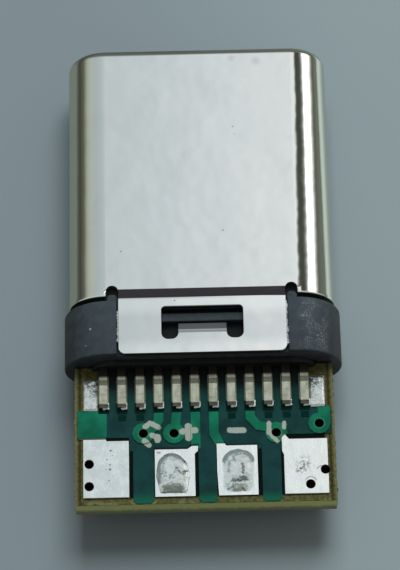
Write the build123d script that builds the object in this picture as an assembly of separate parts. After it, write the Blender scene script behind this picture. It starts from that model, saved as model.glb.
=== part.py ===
"""A reversible 24-contact cable plug with its small solder board, in millimetres.

The plug lies flat, +Z up. X runs across it, and +Y points out of its nose. Inside this file
every shape is drawn from one datum: Y = 0 is the shell's straight rear edge, X = 0 its axis and
Z = 0 its mid-plane. At the end each piece is moved so that the origin is the middle of the
underside, where the plug lies on a table.
"""

import math
import os

from build123d import *

# Shell: one drawn steel tube with a rolled-in mouth and a sprung tab on each broad side
SHELL_WIDTH = 8.25
SHELL_HEIGHT = 2.40
SHELL_LENGTH = 8.65
SHELL_WALL = 0.20
NOSE_RADIUS = 0.30
LIP_DEPTH = 0.38
TAB_WIDTH = 5.12
TAB_RISE = 0.22
TAB_LENGTH = 2.00
TAB_CORNER_RADIUS = 0.22
JOGGLE_FRONT_Y = 0.19
JOGGLE_REAR_Y = -0.17
JOGGLE_BEND_RADIUS = 0.08
TAB_LAP = 1.00
RELIEF_WIDTH = 0.38
RELIEF_DEPTH = 0.36
WINDOW_WIDTH = 2.49
WINDOW_FRONT_Y = -0.46
WINDOW_LOBE_REAR_Y = -1.535
WINDOW_CORNER_RADIUS = 0.13
LOBE_CORNER_RADIUS = 0.20
TONGUE_WIDTH = 1.48
TONGUE_ROOT_Y = -1.33
TONGUE_TIP_Y = -0.98
TONGUE_DROP = 0.27

# Rear collar: the black moulded ring that the tabs clasp
COLLAR_SIDE_OVERHANG = 0.135
COLLAR_TOP_OVERHANG = 0.20
COLLAR_FRONT_Y = -0.20
COLLAR_LENGTH = 1.79
COLLAR_EDGE_CHAMFER = 0.06
TAB_SEAT_CLEARANCE = 0.01
TAB_SIDE_CLEARANCE = 0.05
LOCK_BAR_FRONT_Y = -0.58
LOCK_BAR_LENGTH = 0.28
LOCK_BAR_TOP_BELOW_TAB = 0.07
LOCK_BAR_THICKNESS = 0.24
POCKET_MARGIN = 0.05
KEY_CLEARANCE = 0.03
KEY_FRONT_Y = 0.06
KEY_CORNER = 0.08

# Insulators
FIT_CLEARANCE = 0.05
HOUSING_MOUTH_GAP = 0.05
HOUSING_REAR_Y = 1.55
HOUSING_SIDE_WALL = 0.445
CAVITY_HEIGHT = 1.06
CAVITY_CORNER = 0.14
CAVITY_FLOOR_Y = 2.05
LEAD_IN = 0.14
WAFER_FRONT_Y = 1.50
WAFER_SIDE_WALL = 0.3375
WAFER_TAIL_HEIGHT = 1.74
WAFER_PROTRUSION = 0.15
WAFER_FIT = 0.02
PEG_WIDTH = 0.64
PEG_X = 1.90
PEG_Y = 0.55
PEG_DEPTH = 0.30
PEG_CLEARANCE = 0.03

# Contacts: two rows of formed strips, finer at the mouth and fanned out at the board
CONTACTS_PER_ROW = 12
MATING_ROW_MARGIN = 0.68
TAIL_ROW_MARGIN = 0.8775
CONTACT_THICKNESS = 0.16
CONTACT_BEAM_WIDTH = 0.24
CONTACT_TAIL_WIDTH = 0.26
CONTACT_LEVEL = 0.60
CONTACT_APEX_Z = 0.36
CONTACT_APEX_DEPTH = 4.00
CONTACT_TIP_RISE = 0.20
CONTACT_TIP_LENGTH = 0.42
BEAM_ROOT_Y = 2.30
FIRST_MATE_LEAD = 0.35
FIRST_MATE_POSITIONS = (1, 4, 9, 12)
FAN_FRONT_Y = 0.90
FAN_REAR_Y = -1.00
TAIL_BEND_Y = -2.56
TAIL_FLAT_Y = -2.80
TAIL_END_Y = -3.40
CONTACT_BEND_RADIUS = 0.10
SLOT_SIDE_CLEARANCE = 0.04
SLOT_DEPTH_CLEARANCE = 0.10

# Latch plate between the two wafers
LATCH_THICKNESS = 0.25
LATCH_ARM_WIDTH = 0.24
LATCH_ARM_FLEX_GAP = 0.185
LATCH_ARM_TIP_DEPTH = 2.60
LATCH_HOOK_DEPTH = 3.03
LATCH_HOOK_REACH = 0.33
LATCH_HOOK_FLAT = 0.16
LATCH_HOOK_RAMP = 0.45
LATCH_BRIDGE_FRONT_Y = 1.20
LATCH_BRIDGE_REAR_Y = -1.20
LATCH_TAIL_INSET = 0.22
LATCH_SLOT_CLEARANCE = 0.04

# Screening springs behind the mouth
SPRING_THICKNESS = 0.08
SPRING_PLATE_INSET = 1.275
SPRING_PLATE_FRONT_DEPTH = 0.60
SPRING_PLATE_REAR_DEPTH = 2.93
SPRING_FINGERS = 4
SPRING_FINGER_MARGIN = 0.85
SPRING_FINGER_WIDTH = 0.46
SPRING_FINGER_ROOT_DEPTH = 2.55
SPRING_FINGER_BEND = 0.12
SPRING_APEX_DEPTH = 1.45
SPRING_APEX_Z = 0.47
SPRING_TIP_DEPTH = 1.13
SPRING_TIP_RISE = 0.14
SPRING_WINDOW_MARGIN = 0.08
SPRING_SEAT_CLEARANCE = 0.01

# Solder board
BOARD_SIDE_INSET = 0.33
BOARD_THICKNESS = 0.80
BOARD_FRONT_Y = -2.03
BOARD_REAR_Y = -6.47
BOARD_NOSE_INSET = 0.63
BOARD_NOSE_LENGTH = 0.50
BOARD_SLOT_CLEARANCE = 0.01
COPPER_THICKNESS = 0.035
MASK_THICKNESS = 0.025
MASK_EMBOSS_MARGIN = 0.03
MASK_EDGE_GAP = 0.08
MASK_REAR_GAP = 0.02
MASK_FINGER_CORNER = 0.10
WINDOW_GAP = 0.02
TRACE_WIDTH = 0.23
VIA_RADIUS = 0.14
VIA_RING_RADIUS = 0.31
VIA_RING_SIDES = 12
VIA_TO_PAD = 0.01
WIRE_PAD_4_LEFT_SHARE = 0.588
TAIL_PAD_WIDTH = 0.32
TAIL_PAD_FRONT_Y = -2.36
TAIL_PAD_OVERRUN = 0.16
STUB_LENGTH = 0.19
STUB_GAP = 0.04
WIRE_PAD_THICKNESS = 0.05
WIRE_PAD_REAR_GAP = 0.22
SOLDER_FILM = 0.01
SOLDER_FILLET_HEIGHT = 0.10
SOLDER_FILLET_LENGTH = 0.13
SOLDER_SIDE_MARGIN = 0.03
GROUND_SOLDER_WIDTH = 0.50
GROUND_SOLDER_LENGTH = 1.02
GROUND_SOLDER_HEIGHT = 0.14
GROUND_SOLDER_FRONT_Y = -2.46
GROUND_SOLDER_BEVEL = 0.08
BEAD_HEIGHT = 0.24
BEAD_MARGIN = 0.09
BEAD_CORNER_SHARE = 0.36
BEAD_BEVEL = 0.18

# Derived heights and depths, all from the values above
SHELL_TOP = SHELL_HEIGHT / 2
SHELL_BORE_WIDTH = SHELL_WIDTH - 2 * SHELL_WALL
SHELL_BORE_HEIGHT = SHELL_HEIGHT - 2 * SHELL_WALL
TAB_TOP = SHELL_TOP + TAB_RISE
TAB_UNDERSIDE = TAB_TOP - SHELL_WALL
TAB_REAR_Y = -TAB_LENGTH
COLLAR_REAR_Y = COLLAR_FRONT_Y - COLLAR_LENGTH
COLLAR_WIDTH = SHELL_WIDTH + 2 * COLLAR_SIDE_OVERHANG
COLLAR_HEIGHT = SHELL_HEIGHT + 2 * COLLAR_TOP_OVERHANG
BOARD_WIDTH = COLLAR_WIDTH - 2 * BOARD_SIDE_INSET
CORE_WIDTH = SHELL_BORE_WIDTH - 2 * FIT_CLEARANCE
CORE_HEIGHT = SHELL_BORE_HEIGHT - 2 * FIT_CLEARANCE
HOUSING_FRONT_Y = SHELL_LENGTH - SHELL_WALL - HOUSING_MOUTH_GAP
CAVITY_WIDTH = CORE_WIDTH - 2 * HOUSING_SIDE_WALL
CONTACT_APEX_Y = SHELL_LENGTH - CONTACT_APEX_DEPTH
SPRING_PLATE_WIDTH = SHELL_BORE_WIDTH - 2 * SPRING_PLATE_INSET
SPRING_FINGER_PITCH = (SPRING_PLATE_WIDTH - 2 * SPRING_FINGER_MARGIN) / (SPRING_FINGERS - 1)
LATCH_ARM_OUTER_X = SHELL_BORE_WIDTH / 2 - LATCH_ARM_FLEX_GAP
LATCH_ARM_TIP_Y = SHELL_LENGTH - LATCH_ARM_TIP_DEPTH
LATCH_HOOK_Y = SHELL_LENGTH - LATCH_HOOK_DEPTH
SPRING_PLATE_FRONT_Y = SHELL_LENGTH - SPRING_PLATE_FRONT_DEPTH
SPRING_PLATE_REAR_Y = SHELL_LENGTH - SPRING_PLATE_REAR_DEPTH
SPRING_FINGER_ROOT_Y = SHELL_LENGTH - SPRING_FINGER_ROOT_DEPTH
SPRING_APEX_Y = SHELL_LENGTH - SPRING_APEX_DEPTH
SPRING_TIP_Y = SHELL_LENGTH - SPRING_TIP_DEPTH
MATING_PITCH = (CAVITY_WIDTH - 2 * MATING_ROW_MARGIN) / (CONTACTS_PER_ROW - 1)
TAIL_PITCH = (BOARD_WIDTH - 2 * TAIL_ROW_MARGIN) / (CONTACTS_PER_ROW - 1)
TAIL_ROW_WIDTH = (CONTACTS_PER_ROW - 1) * TAIL_PITCH + CONTACT_TAIL_WIDTH
WAFER_TAIL_WIDTH = TAIL_ROW_WIDTH + 2 * WAFER_SIDE_WALL
BOARD_NOSE_WIDTH = BOARD_WIDTH - 2 * BOARD_NOSE_INSET
WAFER_REAR_Y = COLLAR_REAR_Y - WAFER_PROTRUSION
BOARD_TOP = BOARD_THICKNESS / 2
COPPER_TOP = BOARD_TOP + COPPER_THICKNESS
MASK_TOP = BOARD_TOP + MASK_THICKNESS
EMBOSS_TOP = COPPER_TOP + MASK_THICKNESS
TAIL_LEVEL = COPPER_TOP + SOLDER_FILM + CONTACT_THICKNESS / 2
FAR = 20.0

# The origin of the finished part: the middle of its bounding box, on the underside
ORIGIN_SHIFT = (0, -(SHELL_LENGTH + BOARD_REAR_Y) / 2, TAB_TOP)


def along_y(outline, y_from, y_to):
    """A prism of an X-Z outline between two stations along the plug."""
    return extrude(Plane.XZ.offset(-y_to) * outline, amount=y_to - y_from)


def across_x(profile, width):
    """A prism of a Y-Z profile, centred on the axis."""
    return extrude(Plane.YZ.offset(-width / 2) * profile, amount=width)


def upright(outline, z_from, z_to):
    """A prism of an X-Y outline between two heights."""
    return extrude(Plane.XY.offset(z_from) * outline, amount=z_to - z_from)


def block(x_from, x_to, y_from, y_to, z_from, z_to):
    """A plain box given by its limits."""
    centre = ((x_from + x_to) / 2, (y_from + y_to) / 2, (z_from + z_to) / 2)
    return Pos(*centre) * Box(x_to - x_from, y_to - y_from, z_to - z_from)


def plan(x_from, x_to, y_from, y_to):
    """A rectangle in plan, given by its limits."""
    return Pos((x_from + x_to) / 2, (y_from + y_to) / 2) * Rectangle(x_to - x_from, y_to - y_from)


def formed_strip(points, thickness, bends={}):
    """A strip of even width along a path, mitred but where bends gives a corner's inside radius."""
    headings = [math.atan2(b[1] - a[1], b[0] - a[0]) for a, b in zip(points, points[1:])]
    sides = []
    for side in (thickness / 2, -thickness / 2):
        edge, radii = [], []
        for index, (y, z) in enumerate(points):
            before = headings[max(index - 1, 0)]
            after = headings[min(index, len(headings) - 1)]
            turn = math.remainder(after - before, math.tau)
            normal = before + turn / 2 + math.pi / 2
            reach = side / math.cos(turn / 2)
            edge.append((y + reach * math.cos(normal), z + reach * math.sin(normal)))
            if 0 < index < len(points) - 1:
                outside = index in bends and turn * side < 0
                radii.append(bends.get(index, 0) + (thickness if outside else 0))
        sides.append(FilletPolyline(*edge, radius=radii) if radii else Line(*edge))
    left, right = sides
    return make_face([left, Line(left @ 1, right @ 1), right, Line(right @ 0, left @ 0)])


def contact_x(position, pitch):
    """Where a contact of a row stands across the plug, counted from 1."""
    return (position - (CONTACTS_PER_ROW + 1) / 2) * pitch


def both_sides(make):
    """A piece made for the top, with its mirror image below."""
    upper = make()
    return upper, mirror(upper, about=Plane.XY)


def joggled_path():
    """The middle of the sheet where it rises from the tube to the tab."""
    tube_level = SHELL_TOP - SHELL_WALL / 2
    tab_level = TAB_TOP - SHELL_WALL / 2
    return [
        (JOGGLE_FRONT_Y + TAB_LAP, tube_level),
        (JOGGLE_FRONT_Y, tube_level),
        (JOGGLE_REAR_Y, tab_level),
        (TAB_REAR_Y, tab_level),
    ]


def tab_window():
    """The lock window in plan: a bar with two rounded lobes beside the tongue."""
    lobe_width = (WINDOW_WIDTH - TONGUE_WIDTH) / 2
    bar = plan(-WINDOW_WIDTH / 2, WINDOW_WIDTH / 2, TONGUE_ROOT_Y, WINDOW_FRONT_Y)
    bar = fillet(bar.vertices().sort_by(Axis.Y)[-2:], WINDOW_CORNER_RADIUS)
    for side in (-1, 1):
        inner = side * TONGUE_WIDTH / 2
        outer = side * WINDOW_WIDTH / 2
        lobe = plan(min(inner, outer), max(inner, outer), WINDOW_LOBE_REAR_Y, TONGUE_ROOT_Y + 0.1)
        corner = min(LOBE_CORNER_RADIUS, 0.45 * lobe_width)
        bar += fillet(lobe.vertices().sort_by(Axis.Y)[:2], corner)
    return bar


def top_tab():
    """A shell tab with its window and its pressed-in tongue, on the upper side."""
    bends = {1: JOGGLE_BEND_RADIUS, 2: JOGGLE_BEND_RADIUS}
    tab = across_x(formed_strip(joggled_path(), SHELL_WALL, bends), TAB_WIDTH)
    tab = fillet(tab.edges().filter_by(Axis.Z).group_by(Axis.Y)[0], TAB_CORNER_RADIUS)
    tab -= upright(tab_window(), TAB_UNDERSIDE - 0.1, TAB_TOP + 0.1)
    level = TAB_TOP - SHELL_WALL / 2
    path = [(WINDOW_LOBE_REAR_Y, level), (TONGUE_ROOT_Y, level), (TONGUE_TIP_Y, level - TONGUE_DROP)]
    tongue = across_x(formed_strip(path, SHELL_WALL, {1: JOGGLE_BEND_RADIUS}), TONGUE_WIDTH)
    return tab + tongue


def shell():
    """The drawn tube, its rolled mouth, the relief notches and the two rear tabs."""
    body = along_y(SlotOverall(SHELL_WIDTH, SHELL_HEIGHT), 0, SHELL_LENGTH)
    body = fillet(body.faces().sort_by(Axis.Y)[-1].edges(), NOSE_RADIUS)
    bore = along_y(SlotOverall(SHELL_BORE_WIDTH, SHELL_BORE_HEIGHT), -FAR, SHELL_LENGTH - SHELL_WALL)
    mouth = SlotOverall(SHELL_WIDTH - 2 * LIP_DEPTH, SHELL_HEIGHT - 2 * LIP_DEPTH)
    body -= bore + along_y(mouth, 0, FAR)
    relief_radius = RELIEF_WIDTH / 2
    relief_centre_y = RELIEF_DEPTH - relief_radius
    half_opening = TAB_WIDTH / 2 + RELIEF_WIDTH
    opening = plan(-half_opening, half_opening, -FAR, relief_centre_y)
    for side in (-1, 1):
        opening += Pos(side * (TAB_WIDTH / 2 + relief_radius), relief_centre_y) * Circle(relief_radius)
    opening += plan(-TAB_WIDTH / 2, TAB_WIDTH / 2, -FAR, JOGGLE_FRONT_Y + TAB_LAP / 2)
    body -= upright(opening, -FAR, FAR)
    return body + top_tab() + mirror(top_tab(), about=Plane.XY)


def collar_keys():
    """Small moulded keys that reach forward into the shell's relief notches."""
    key_half = RELIEF_WIDTH / 2 - KEY_CLEARANCE
    keys = []
    for side in (-1, 1):
        x = side * (TAB_WIDTH + RELIEF_WIDTH) / 2
        outline = plan(x - key_half, x + key_half, COLLAR_FRONT_Y - 0.1, KEY_FRONT_Y)
        outline = chamfer(outline.vertices().sort_by(Axis.Y)[-2:], KEY_CORNER)
        keys.append(upright(outline, CORE_HEIGHT / 2, SHELL_TOP))
    return keys


def rear_collar():
    """The moulded ring, with tab seats, lock pockets, lock bars and keys."""
    ring = along_y(SlotOverall(COLLAR_WIDTH, COLLAR_HEIGHT), COLLAR_REAR_Y, COLLAR_FRONT_Y)
    ring = chamfer(ring.faces().sort_by(Axis.Y)[-1].edges(), COLLAR_EDGE_CHAMFER)
    seat_half = TAB_WIDTH / 2 + TAB_SIDE_CLEARANCE
    seat_floor = TAB_UNDERSIDE - TAB_SEAT_CLEARANCE
    bore = SlotOverall(WAFER_TAIL_WIDTH + 2 * WAFER_FIT, WAFER_TAIL_HEIGHT + 2 * WAFER_FIT)
    pocket_half = WINDOW_WIDTH / 2 + POCKET_MARGIN
    pocket_front = WINDOW_FRONT_Y + POCKET_MARGIN
    pocket_rear = WINDOW_LOBE_REAR_Y - POCKET_MARGIN
    bar_top = TAB_UNDERSIDE - LOCK_BAR_TOP_BELOW_TAB
    bar_rear = LOCK_BAR_FRONT_Y - LOCK_BAR_LENGTH
    cuts, bars = [], []
    for level in (1, -1):
        near, far = sorted((level * seat_floor, level * FAR))
        cuts.append(block(-seat_half, seat_half, -FAR, FAR, near, far))
        near, far = sorted((0, level * FAR))
        cuts.append(block(-pocket_half, pocket_half, pocket_rear, pocket_front, near, far))
        near, far = sorted((level * (bar_top - LOCK_BAR_THICKNESS), level * bar_top))
        bars.append(block(-pocket_half, pocket_half, bar_rear, LOCK_BAR_FRONT_Y, near, far))
    keys = collar_keys()
    keys += [mirror(key, about=Plane.XY) for key in keys]
    body = ring - cuts + bars + keys
    return body - along_y(bore, -FAR, FAR)


def contact_profile(apex_y):
    """The side view of an upper contact, from its free tip to its soldered tail."""
    path = [
        (apex_y + CONTACT_TIP_LENGTH, CONTACT_APEX_Z + CONTACT_TIP_RISE),
        (apex_y, CONTACT_APEX_Z),
        (BEAM_ROOT_Y, CONTACT_LEVEL),
        (TAIL_BEND_Y, CONTACT_LEVEL),
        (TAIL_FLAT_Y, TAIL_LEVEL),
        (TAIL_END_Y, TAIL_LEVEL),
    ]
    return formed_strip(path, CONTACT_THICKNESS, {1: CONTACT_BEND_RADIUS})


def upper_contact(position):
    """One contact: the formed strip, cut to the blank's outline in plan."""
    apex_y = CONTACT_APEX_Y
    if position in FIRST_MATE_POSITIONS:
        apex_y += FIRST_MATE_LEAD
    front_x = contact_x(position, MATING_PITCH)
    rear_x = contact_x(position, TAIL_PITCH)
    front_half, rear_half = CONTACT_BEAM_WIDTH / 2, CONTACT_TAIL_WIDTH / 2
    right = [(front_half, FAR), (front_half, FAN_FRONT_Y), (rear_half, FAN_REAR_Y), (rear_half, -FAR)]
    middles = [front_x, front_x, rear_x, rear_x]
    outline = [(x + half, y) for x, (half, y) in zip(middles, right)]
    outline += [(x - half, y) for x, (half, y) in zip(middles[::-1], right[::-1])]
    blank = upright(make_face(Polyline(*outline, close=True)), -FAR, FAR)
    return across_x(contact_profile(apex_y), FAR) & blank


def contacts():
    """Both rows by name. The lower row is the upper one turned over, so its count runs back."""
    row = {}
    for position in range(1, CONTACTS_PER_ROW + 1):
        upper, lower = both_sides(lambda: upper_contact(position))
        row[f"contact_a{position}"] = upper
        row[f"contact_b{CONTACTS_PER_ROW + 1 - position}"] = lower
    return row


def front_housing():
    """The moulded insert behind the mouth, slotted for contacts, latch arms and springs."""
    body = along_y(SlotOverall(CORE_WIDTH, CORE_HEIGHT), HOUSING_REAR_Y, HOUSING_FRONT_Y)
    cavity = chamfer(Rectangle(CAVITY_WIDTH, CAVITY_HEIGHT).vertices(), CAVITY_CORNER)
    body -= along_y(cavity, CAVITY_FLOOR_Y, SHELL_LENGTH)
    mouth_edges = body.faces().sort_by(Axis.Y)[-1].inner_wires()[0].edges()
    body = chamfer(mouth_edges, LEAD_IN)
    slot_half = CONTACT_BEAM_WIDTH / 2 + SLOT_SIDE_CLEARANCE
    slot_roof = CONTACT_LEVEL + CONTACT_THICKNESS / 2 + SLOT_DEPTH_CLEARANCE
    slot_floor = CAVITY_HEIGHT / 2 - 0.1
    cuts = []
    for position in range(1, CONTACTS_PER_ROW + 1):
        x = contact_x(position, MATING_PITCH)
        tip_y = CONTACT_APEX_Y + CONTACT_TIP_LENGTH
        if position in FIRST_MATE_POSITIONS:
            tip_y += FIRST_MATE_LEAD
        front = tip_y + SLOT_DEPTH_CLEARANCE
        cuts.append(block(x - slot_half, x + slot_half, CAVITY_FLOOR_Y, front, slot_floor, slot_roof))
        root = CONTACT_LEVEL - CONTACT_THICKNESS / 2 - SLOT_SIDE_CLEARANCE
        cuts.append(block(x - slot_half, x + slot_half, -FAR, CAVITY_FLOOR_Y, root, slot_roof))
    recess_floor = SHELL_BORE_HEIGHT / 2 - SPRING_THICKNESS - 2 * SPRING_SEAT_CLEARANCE
    recess_half = SPRING_PLATE_WIDTH / 2 + SPRING_SEAT_CLEARANCE
    recess_rear = SPRING_PLATE_REAR_Y - SPRING_SEAT_CLEARANCE
    cuts.append(block(-recess_half, recess_half, recess_rear, FAR, recess_floor, FAR))
    for x in spring_finger_positions():
        half = SPRING_FINGER_WIDTH / 2 + SPRING_WINDOW_MARGIN
        rear = SPRING_FINGER_ROOT_Y + SPRING_WINDOW_MARGIN
        front = SPRING_TIP_Y + SPRING_WINDOW_MARGIN
        cuts.append(block(x - half, x + half, rear, front, slot_floor, FAR))
    cuts += [mirror(cut, about=Plane.XY) for cut in cuts]
    arm_inner = LATCH_ARM_OUTER_X - LATCH_ARM_WIDTH - LATCH_SLOT_CLEARANCE
    hook_inner = arm_inner - LATCH_HOOK_REACH
    slot_half = LATCH_THICKNESS / 2 + LATCH_SLOT_CLEARANCE
    slot_front = LATCH_ARM_TIP_Y + LATCH_SLOT_CLEARANCE
    for side in (-1, 1):
        for inner, rear in ((arm_inner, -FAR), (hook_inner, CAVITY_FLOOR_Y)):
            near, far = sorted((side * inner, side * FAR))
            cuts.append(block(near, far, rear, slot_front, -slot_half, slot_half))
    return body - cuts


def spring_finger_positions():
    """The middles of the screening fingers across the plug."""
    first = -(SPRING_FINGERS - 1) / 2 * SPRING_FINGER_PITCH
    return [first + index * SPRING_FINGER_PITCH for index in range(SPRING_FINGERS)]


def screening_spring():
    """The upper screening spring: a thin plate with fingers pressed down into the mouth."""
    top = SHELL_BORE_HEIGHT / 2 - SPRING_SEAT_CLEARANCE
    level = top - SPRING_THICKNESS / 2
    sheet = plan(
        -SPRING_PLATE_WIDTH / 2, SPRING_PLATE_WIDTH / 2, SPRING_PLATE_REAR_Y, SPRING_PLATE_FRONT_Y
    )
    finger_path = [
        (SPRING_FINGER_ROOT_Y - 0.1, level),
        (SPRING_FINGER_ROOT_Y + SPRING_FINGER_BEND, level),
        (SPRING_APEX_Y, SPRING_APEX_Z + SPRING_THICKNESS / 2),
        (SPRING_TIP_Y, SPRING_APEX_Z + SPRING_THICKNESS / 2 + SPRING_TIP_RISE),
    ]
    section = formed_strip(finger_path, SPRING_THICKNESS, {2: SPRING_THICKNESS})
    finger = across_x(section, SPRING_FINGER_WIDTH)
    half = SPRING_FINGER_WIDTH / 2 + SPRING_WINDOW_MARGIN
    for x in spring_finger_positions():
        sheet -= plan(x - half, x + half, SPRING_FINGER_ROOT_Y, SPRING_TIP_Y + SPRING_WINDOW_MARGIN)
    plate = upright(sheet, top - SPRING_THICKNESS, top)
    for x in spring_finger_positions():
        plate += Pos(x, 0, 0) * finger
    return plate


def latch_plate():
    """The stamped plate between the wafers, with a hooked arm along each side of the mouth."""
    outer = LATCH_ARM_OUTER_X
    inner = outer - LATCH_ARM_WIDTH
    hook = inner - LATCH_HOOK_REACH
    tail = WAFER_TAIL_WIDTH / 2 - LATCH_TAIL_INSET
    right = [
        (0, LATCH_BRIDGE_FRONT_Y),
        (inner, LATCH_BRIDGE_FRONT_Y),
        (inner, LATCH_HOOK_Y - LATCH_HOOK_RAMP),
        (hook, LATCH_HOOK_Y - LATCH_HOOK_FLAT / 2),
        (hook, LATCH_HOOK_Y + LATCH_HOOK_FLAT / 2),
        (inner, LATCH_ARM_TIP_Y),
        (outer, LATCH_ARM_TIP_Y),
        (outer, COLLAR_FRONT_Y + FIT_CLEARANCE),
        (tail, COLLAR_FRONT_Y + FIT_CLEARANCE),
        (tail, LATCH_BRIDGE_REAR_Y),
        (0, LATCH_BRIDGE_REAR_Y),
    ]
    outline = make_face(Polyline(*right, close=True))
    outline += mirror(outline, about=Plane.YZ)
    for side in (-1, 1):
        hole_width = PEG_WIDTH + 2 * PEG_CLEARANCE
        outline -= Pos(side * PEG_X, PEG_Y) * Rectangle(hole_width, hole_width)
    return upright(outline, -LATCH_THICKNESS / 2, LATCH_THICKNESS / 2)


def upper_wafer(row):
    """The insulator moulded round the upper contacts, over the latch plate."""
    floor = LATCH_THICKNESS / 2
    front = along_y(SlotOverall(CORE_WIDTH, CORE_HEIGHT), COLLAR_FRONT_Y, WAFER_FRONT_Y)
    rear = along_y(SlotOverall(WAFER_TAIL_WIDTH, WAFER_TAIL_HEIGHT), WAFER_REAR_Y, COLLAR_FRONT_Y)
    body = (front + rear) - block(-FAR, FAR, -FAR, FAR, -FAR, floor)
    slot_front = BOARD_FRONT_Y + BOARD_NOSE_LENGTH + BOARD_SLOT_CLEARANCE
    body -= block(-FAR, FAR, -FAR, slot_front, -FAR, BOARD_TOP + BOARD_SLOT_CLEARANCE)
    seat = WAFER_TAIL_WIDTH / 2 - LATCH_TAIL_INSET
    spacer = block(-seat, seat, slot_front, LATCH_BRIDGE_REAR_Y - FIT_CLEARANCE, 0, floor)
    body += spacer
    return body - [contact for name, contact in row.items() if name.startswith("contact_a")]


def wafers(row):
    """Upper and lower wafer. Pegs on the upper one pass through the plate into the lower one."""
    upper = upper_wafer(row)
    lower = mirror(upper, about=Plane.XY)
    foot = -LATCH_THICKNESS / 2 - PEG_DEPTH
    for side in (-1, 1):
        peg = Pos(side * PEG_X, PEG_Y) * Rectangle(PEG_WIDTH, PEG_WIDTH)
        hole = offset(peg, PEG_CLEARANCE, kind=Kind.INTERSECTION)
        upper += upright(peg, foot, LATCH_THICKNESS / 2)
        lower -= upright(hole, foot - PEG_CLEARANCE, 0)
    return upper, lower


def board_point(across, along):
    """A place on the board: a share of its half width, and of its bare length from the rear."""
    length = WAFER_REAR_Y - BOARD_REAR_Y
    return across * BOARD_WIDTH / 2, BOARD_REAR_Y + along * length


def via_positions():
    """Plated holes in plan. One stands just beside the fourth wire pad, whatever the width."""
    places = {
        "pad_1_front": board_point(-0.891, 0.300),
        "pad_1_rear": board_point(-0.891, 0.136),
        "pad_4_side": board_point(0.916, 0.226),
        "pad_4_rear": board_point(0.799, 0.120),
        "right_ground": board_point(0.883, 0.568),
        "middle_right": board_point(-0.237, 0.517),
        "middle_left": board_point(-0.473, 0.520),
    }
    beside_x, beside_y = board_point(WIRE_PAD_4_LEFT_SHARE, 0.506)
    places["near_pad_4"] = (beside_x - VIA_RADIUS - VIA_TO_PAD, beside_y)
    return places


def via_holes(radius, z_from, z_to):
    """Cylinders for the plated holes between two heights."""
    circles = Sketch() + [Pos(x, y) * Circle(radius) for x, y in via_positions().values()]
    return upright(circles, z_from, z_to)


def circuit_board():
    """The laminate, with a nose that seats between the wafers."""
    half = BOARD_WIDTH / 2
    outline = plan(-half, half, BOARD_REAR_Y, BOARD_FRONT_Y)
    nose_half = BOARD_NOSE_WIDTH / 2
    nose = plan(-nose_half, nose_half, BOARD_FRONT_Y, BOARD_FRONT_Y + BOARD_NOSE_LENGTH)
    body = upright(outline + nose, -BOARD_TOP, BOARD_TOP)
    return body - via_holes(VIA_RADIUS, -FAR, FAR)


def wire_pad_outlines():
    """The four wire pads in plan, each with the spur that its trace joins."""
    shares = {
        "wire_pad_1": [(-0.936, 0.483), (-0.761, 0.483), (-0.756, 0.469), (-0.585, 0.469)],
        "wire_pad_2": [
            (-0.387, 0.397), (-0.135, 0.397), (-0.104, 0.418),
            (-0.056, 0.418), (-0.056, 0.383), (-0.081, 0.360),
        ],
        "wire_pad_3": [(0.089, 0.236), (0.089, 0.432), (0.150, 0.432), (0.163, 0.416), (0.399, 0.416)],
        "wire_pad_4": [
            (0.601, 0.346), (WIRE_PAD_4_LEFT_SHARE, 0.370), (WIRE_PAD_4_LEFT_SHARE, 0.469),
            (0.613, 0.492), (0.646, 0.457), (0.939, 0.457),
        ],
    }
    rear = BOARD_REAR_Y + WIRE_PAD_REAR_GAP
    outlines = {}
    for name, front in shares.items():
        points = [board_point(across, along) for across, along in front]
        left = min(points[0][0], points[-1][0]) if name != "wire_pad_3" else board_point(0.099, 0)[0]
        points += [(points[-1][0], rear), (left, rear)]
        outlines[name] = make_face(Polyline(*points, close=True))
    return outlines


def traced_positions():
    """The upper tails that a trace runs on from, with the points of that trace after the tail."""
    via = via_positions()

    def below_tail(position, along):
        return contact_x(position, TAIL_PITCH), board_point(0, along)[1]

    return {
        4: [below_tail(4, 0.617), board_point(-0.387, 0.566), via["middle_left"]],
        5: [via["middle_right"]],
        6: [below_tail(6, 0.404)],
        7: [below_tail(7, 0.506), board_point(0.120, 0.423)],
        9: [
            below_tail(9, 0.621), board_point(0.412, 0.559), board_point(0.483, 0.547),
            via["near_pad_4"],
        ],
    }


def hidden_copper():
    """Traces, via rings and the ground fields that lie under the solder mask, in plan."""
    via = via_positions()
    fields = Sketch()
    for position, points in traced_positions().items():
        start = (contact_x(position, TAIL_PITCH), TAIL_END_Y - TAIL_PAD_OVERRUN)
        fields += formed_strip([start, *points], TRACE_WIDTH)
    for name in ("middle_left", "middle_right", "near_pad_4", "right_ground"):
        fields += Pos(*via[name]) * RegularPolygon(VIA_RING_RADIUS, VIA_RING_SIDES)
    edge = BOARD_WIDTH / 2 - MASK_EDGE_GAP - MASK_EMBOSS_MARGIN
    ground_rear = GROUND_SOLDER_FRONT_Y - GROUND_SOLDER_LENGTH
    inner_x, field_rear = board_point(-0.761, 0.487)
    fields += plan(-edge, inner_x, field_rear, ground_rear)
    ring_x, ring_y = via["right_ground"]
    fields += plan(ring_x, edge - MASK_EMBOSS_MARGIN, ring_y, ground_rear)
    pads = Sketch() + list(wire_pad_outlines().values())
    return fields - pads


def tail_pads():
    """The landing pads under the contact tails, in plan."""
    half = TAIL_PAD_WIDTH / 2
    rear = TAIL_END_Y - TAIL_PAD_OVERRUN
    pads = Sketch()
    for position in range(1, CONTACTS_PER_ROW + 1):
        x = contact_x(position, TAIL_PITCH)
        pads += plan(x - half, x + half, rear, TAIL_PAD_FRONT_Y)
    return pads


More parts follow.
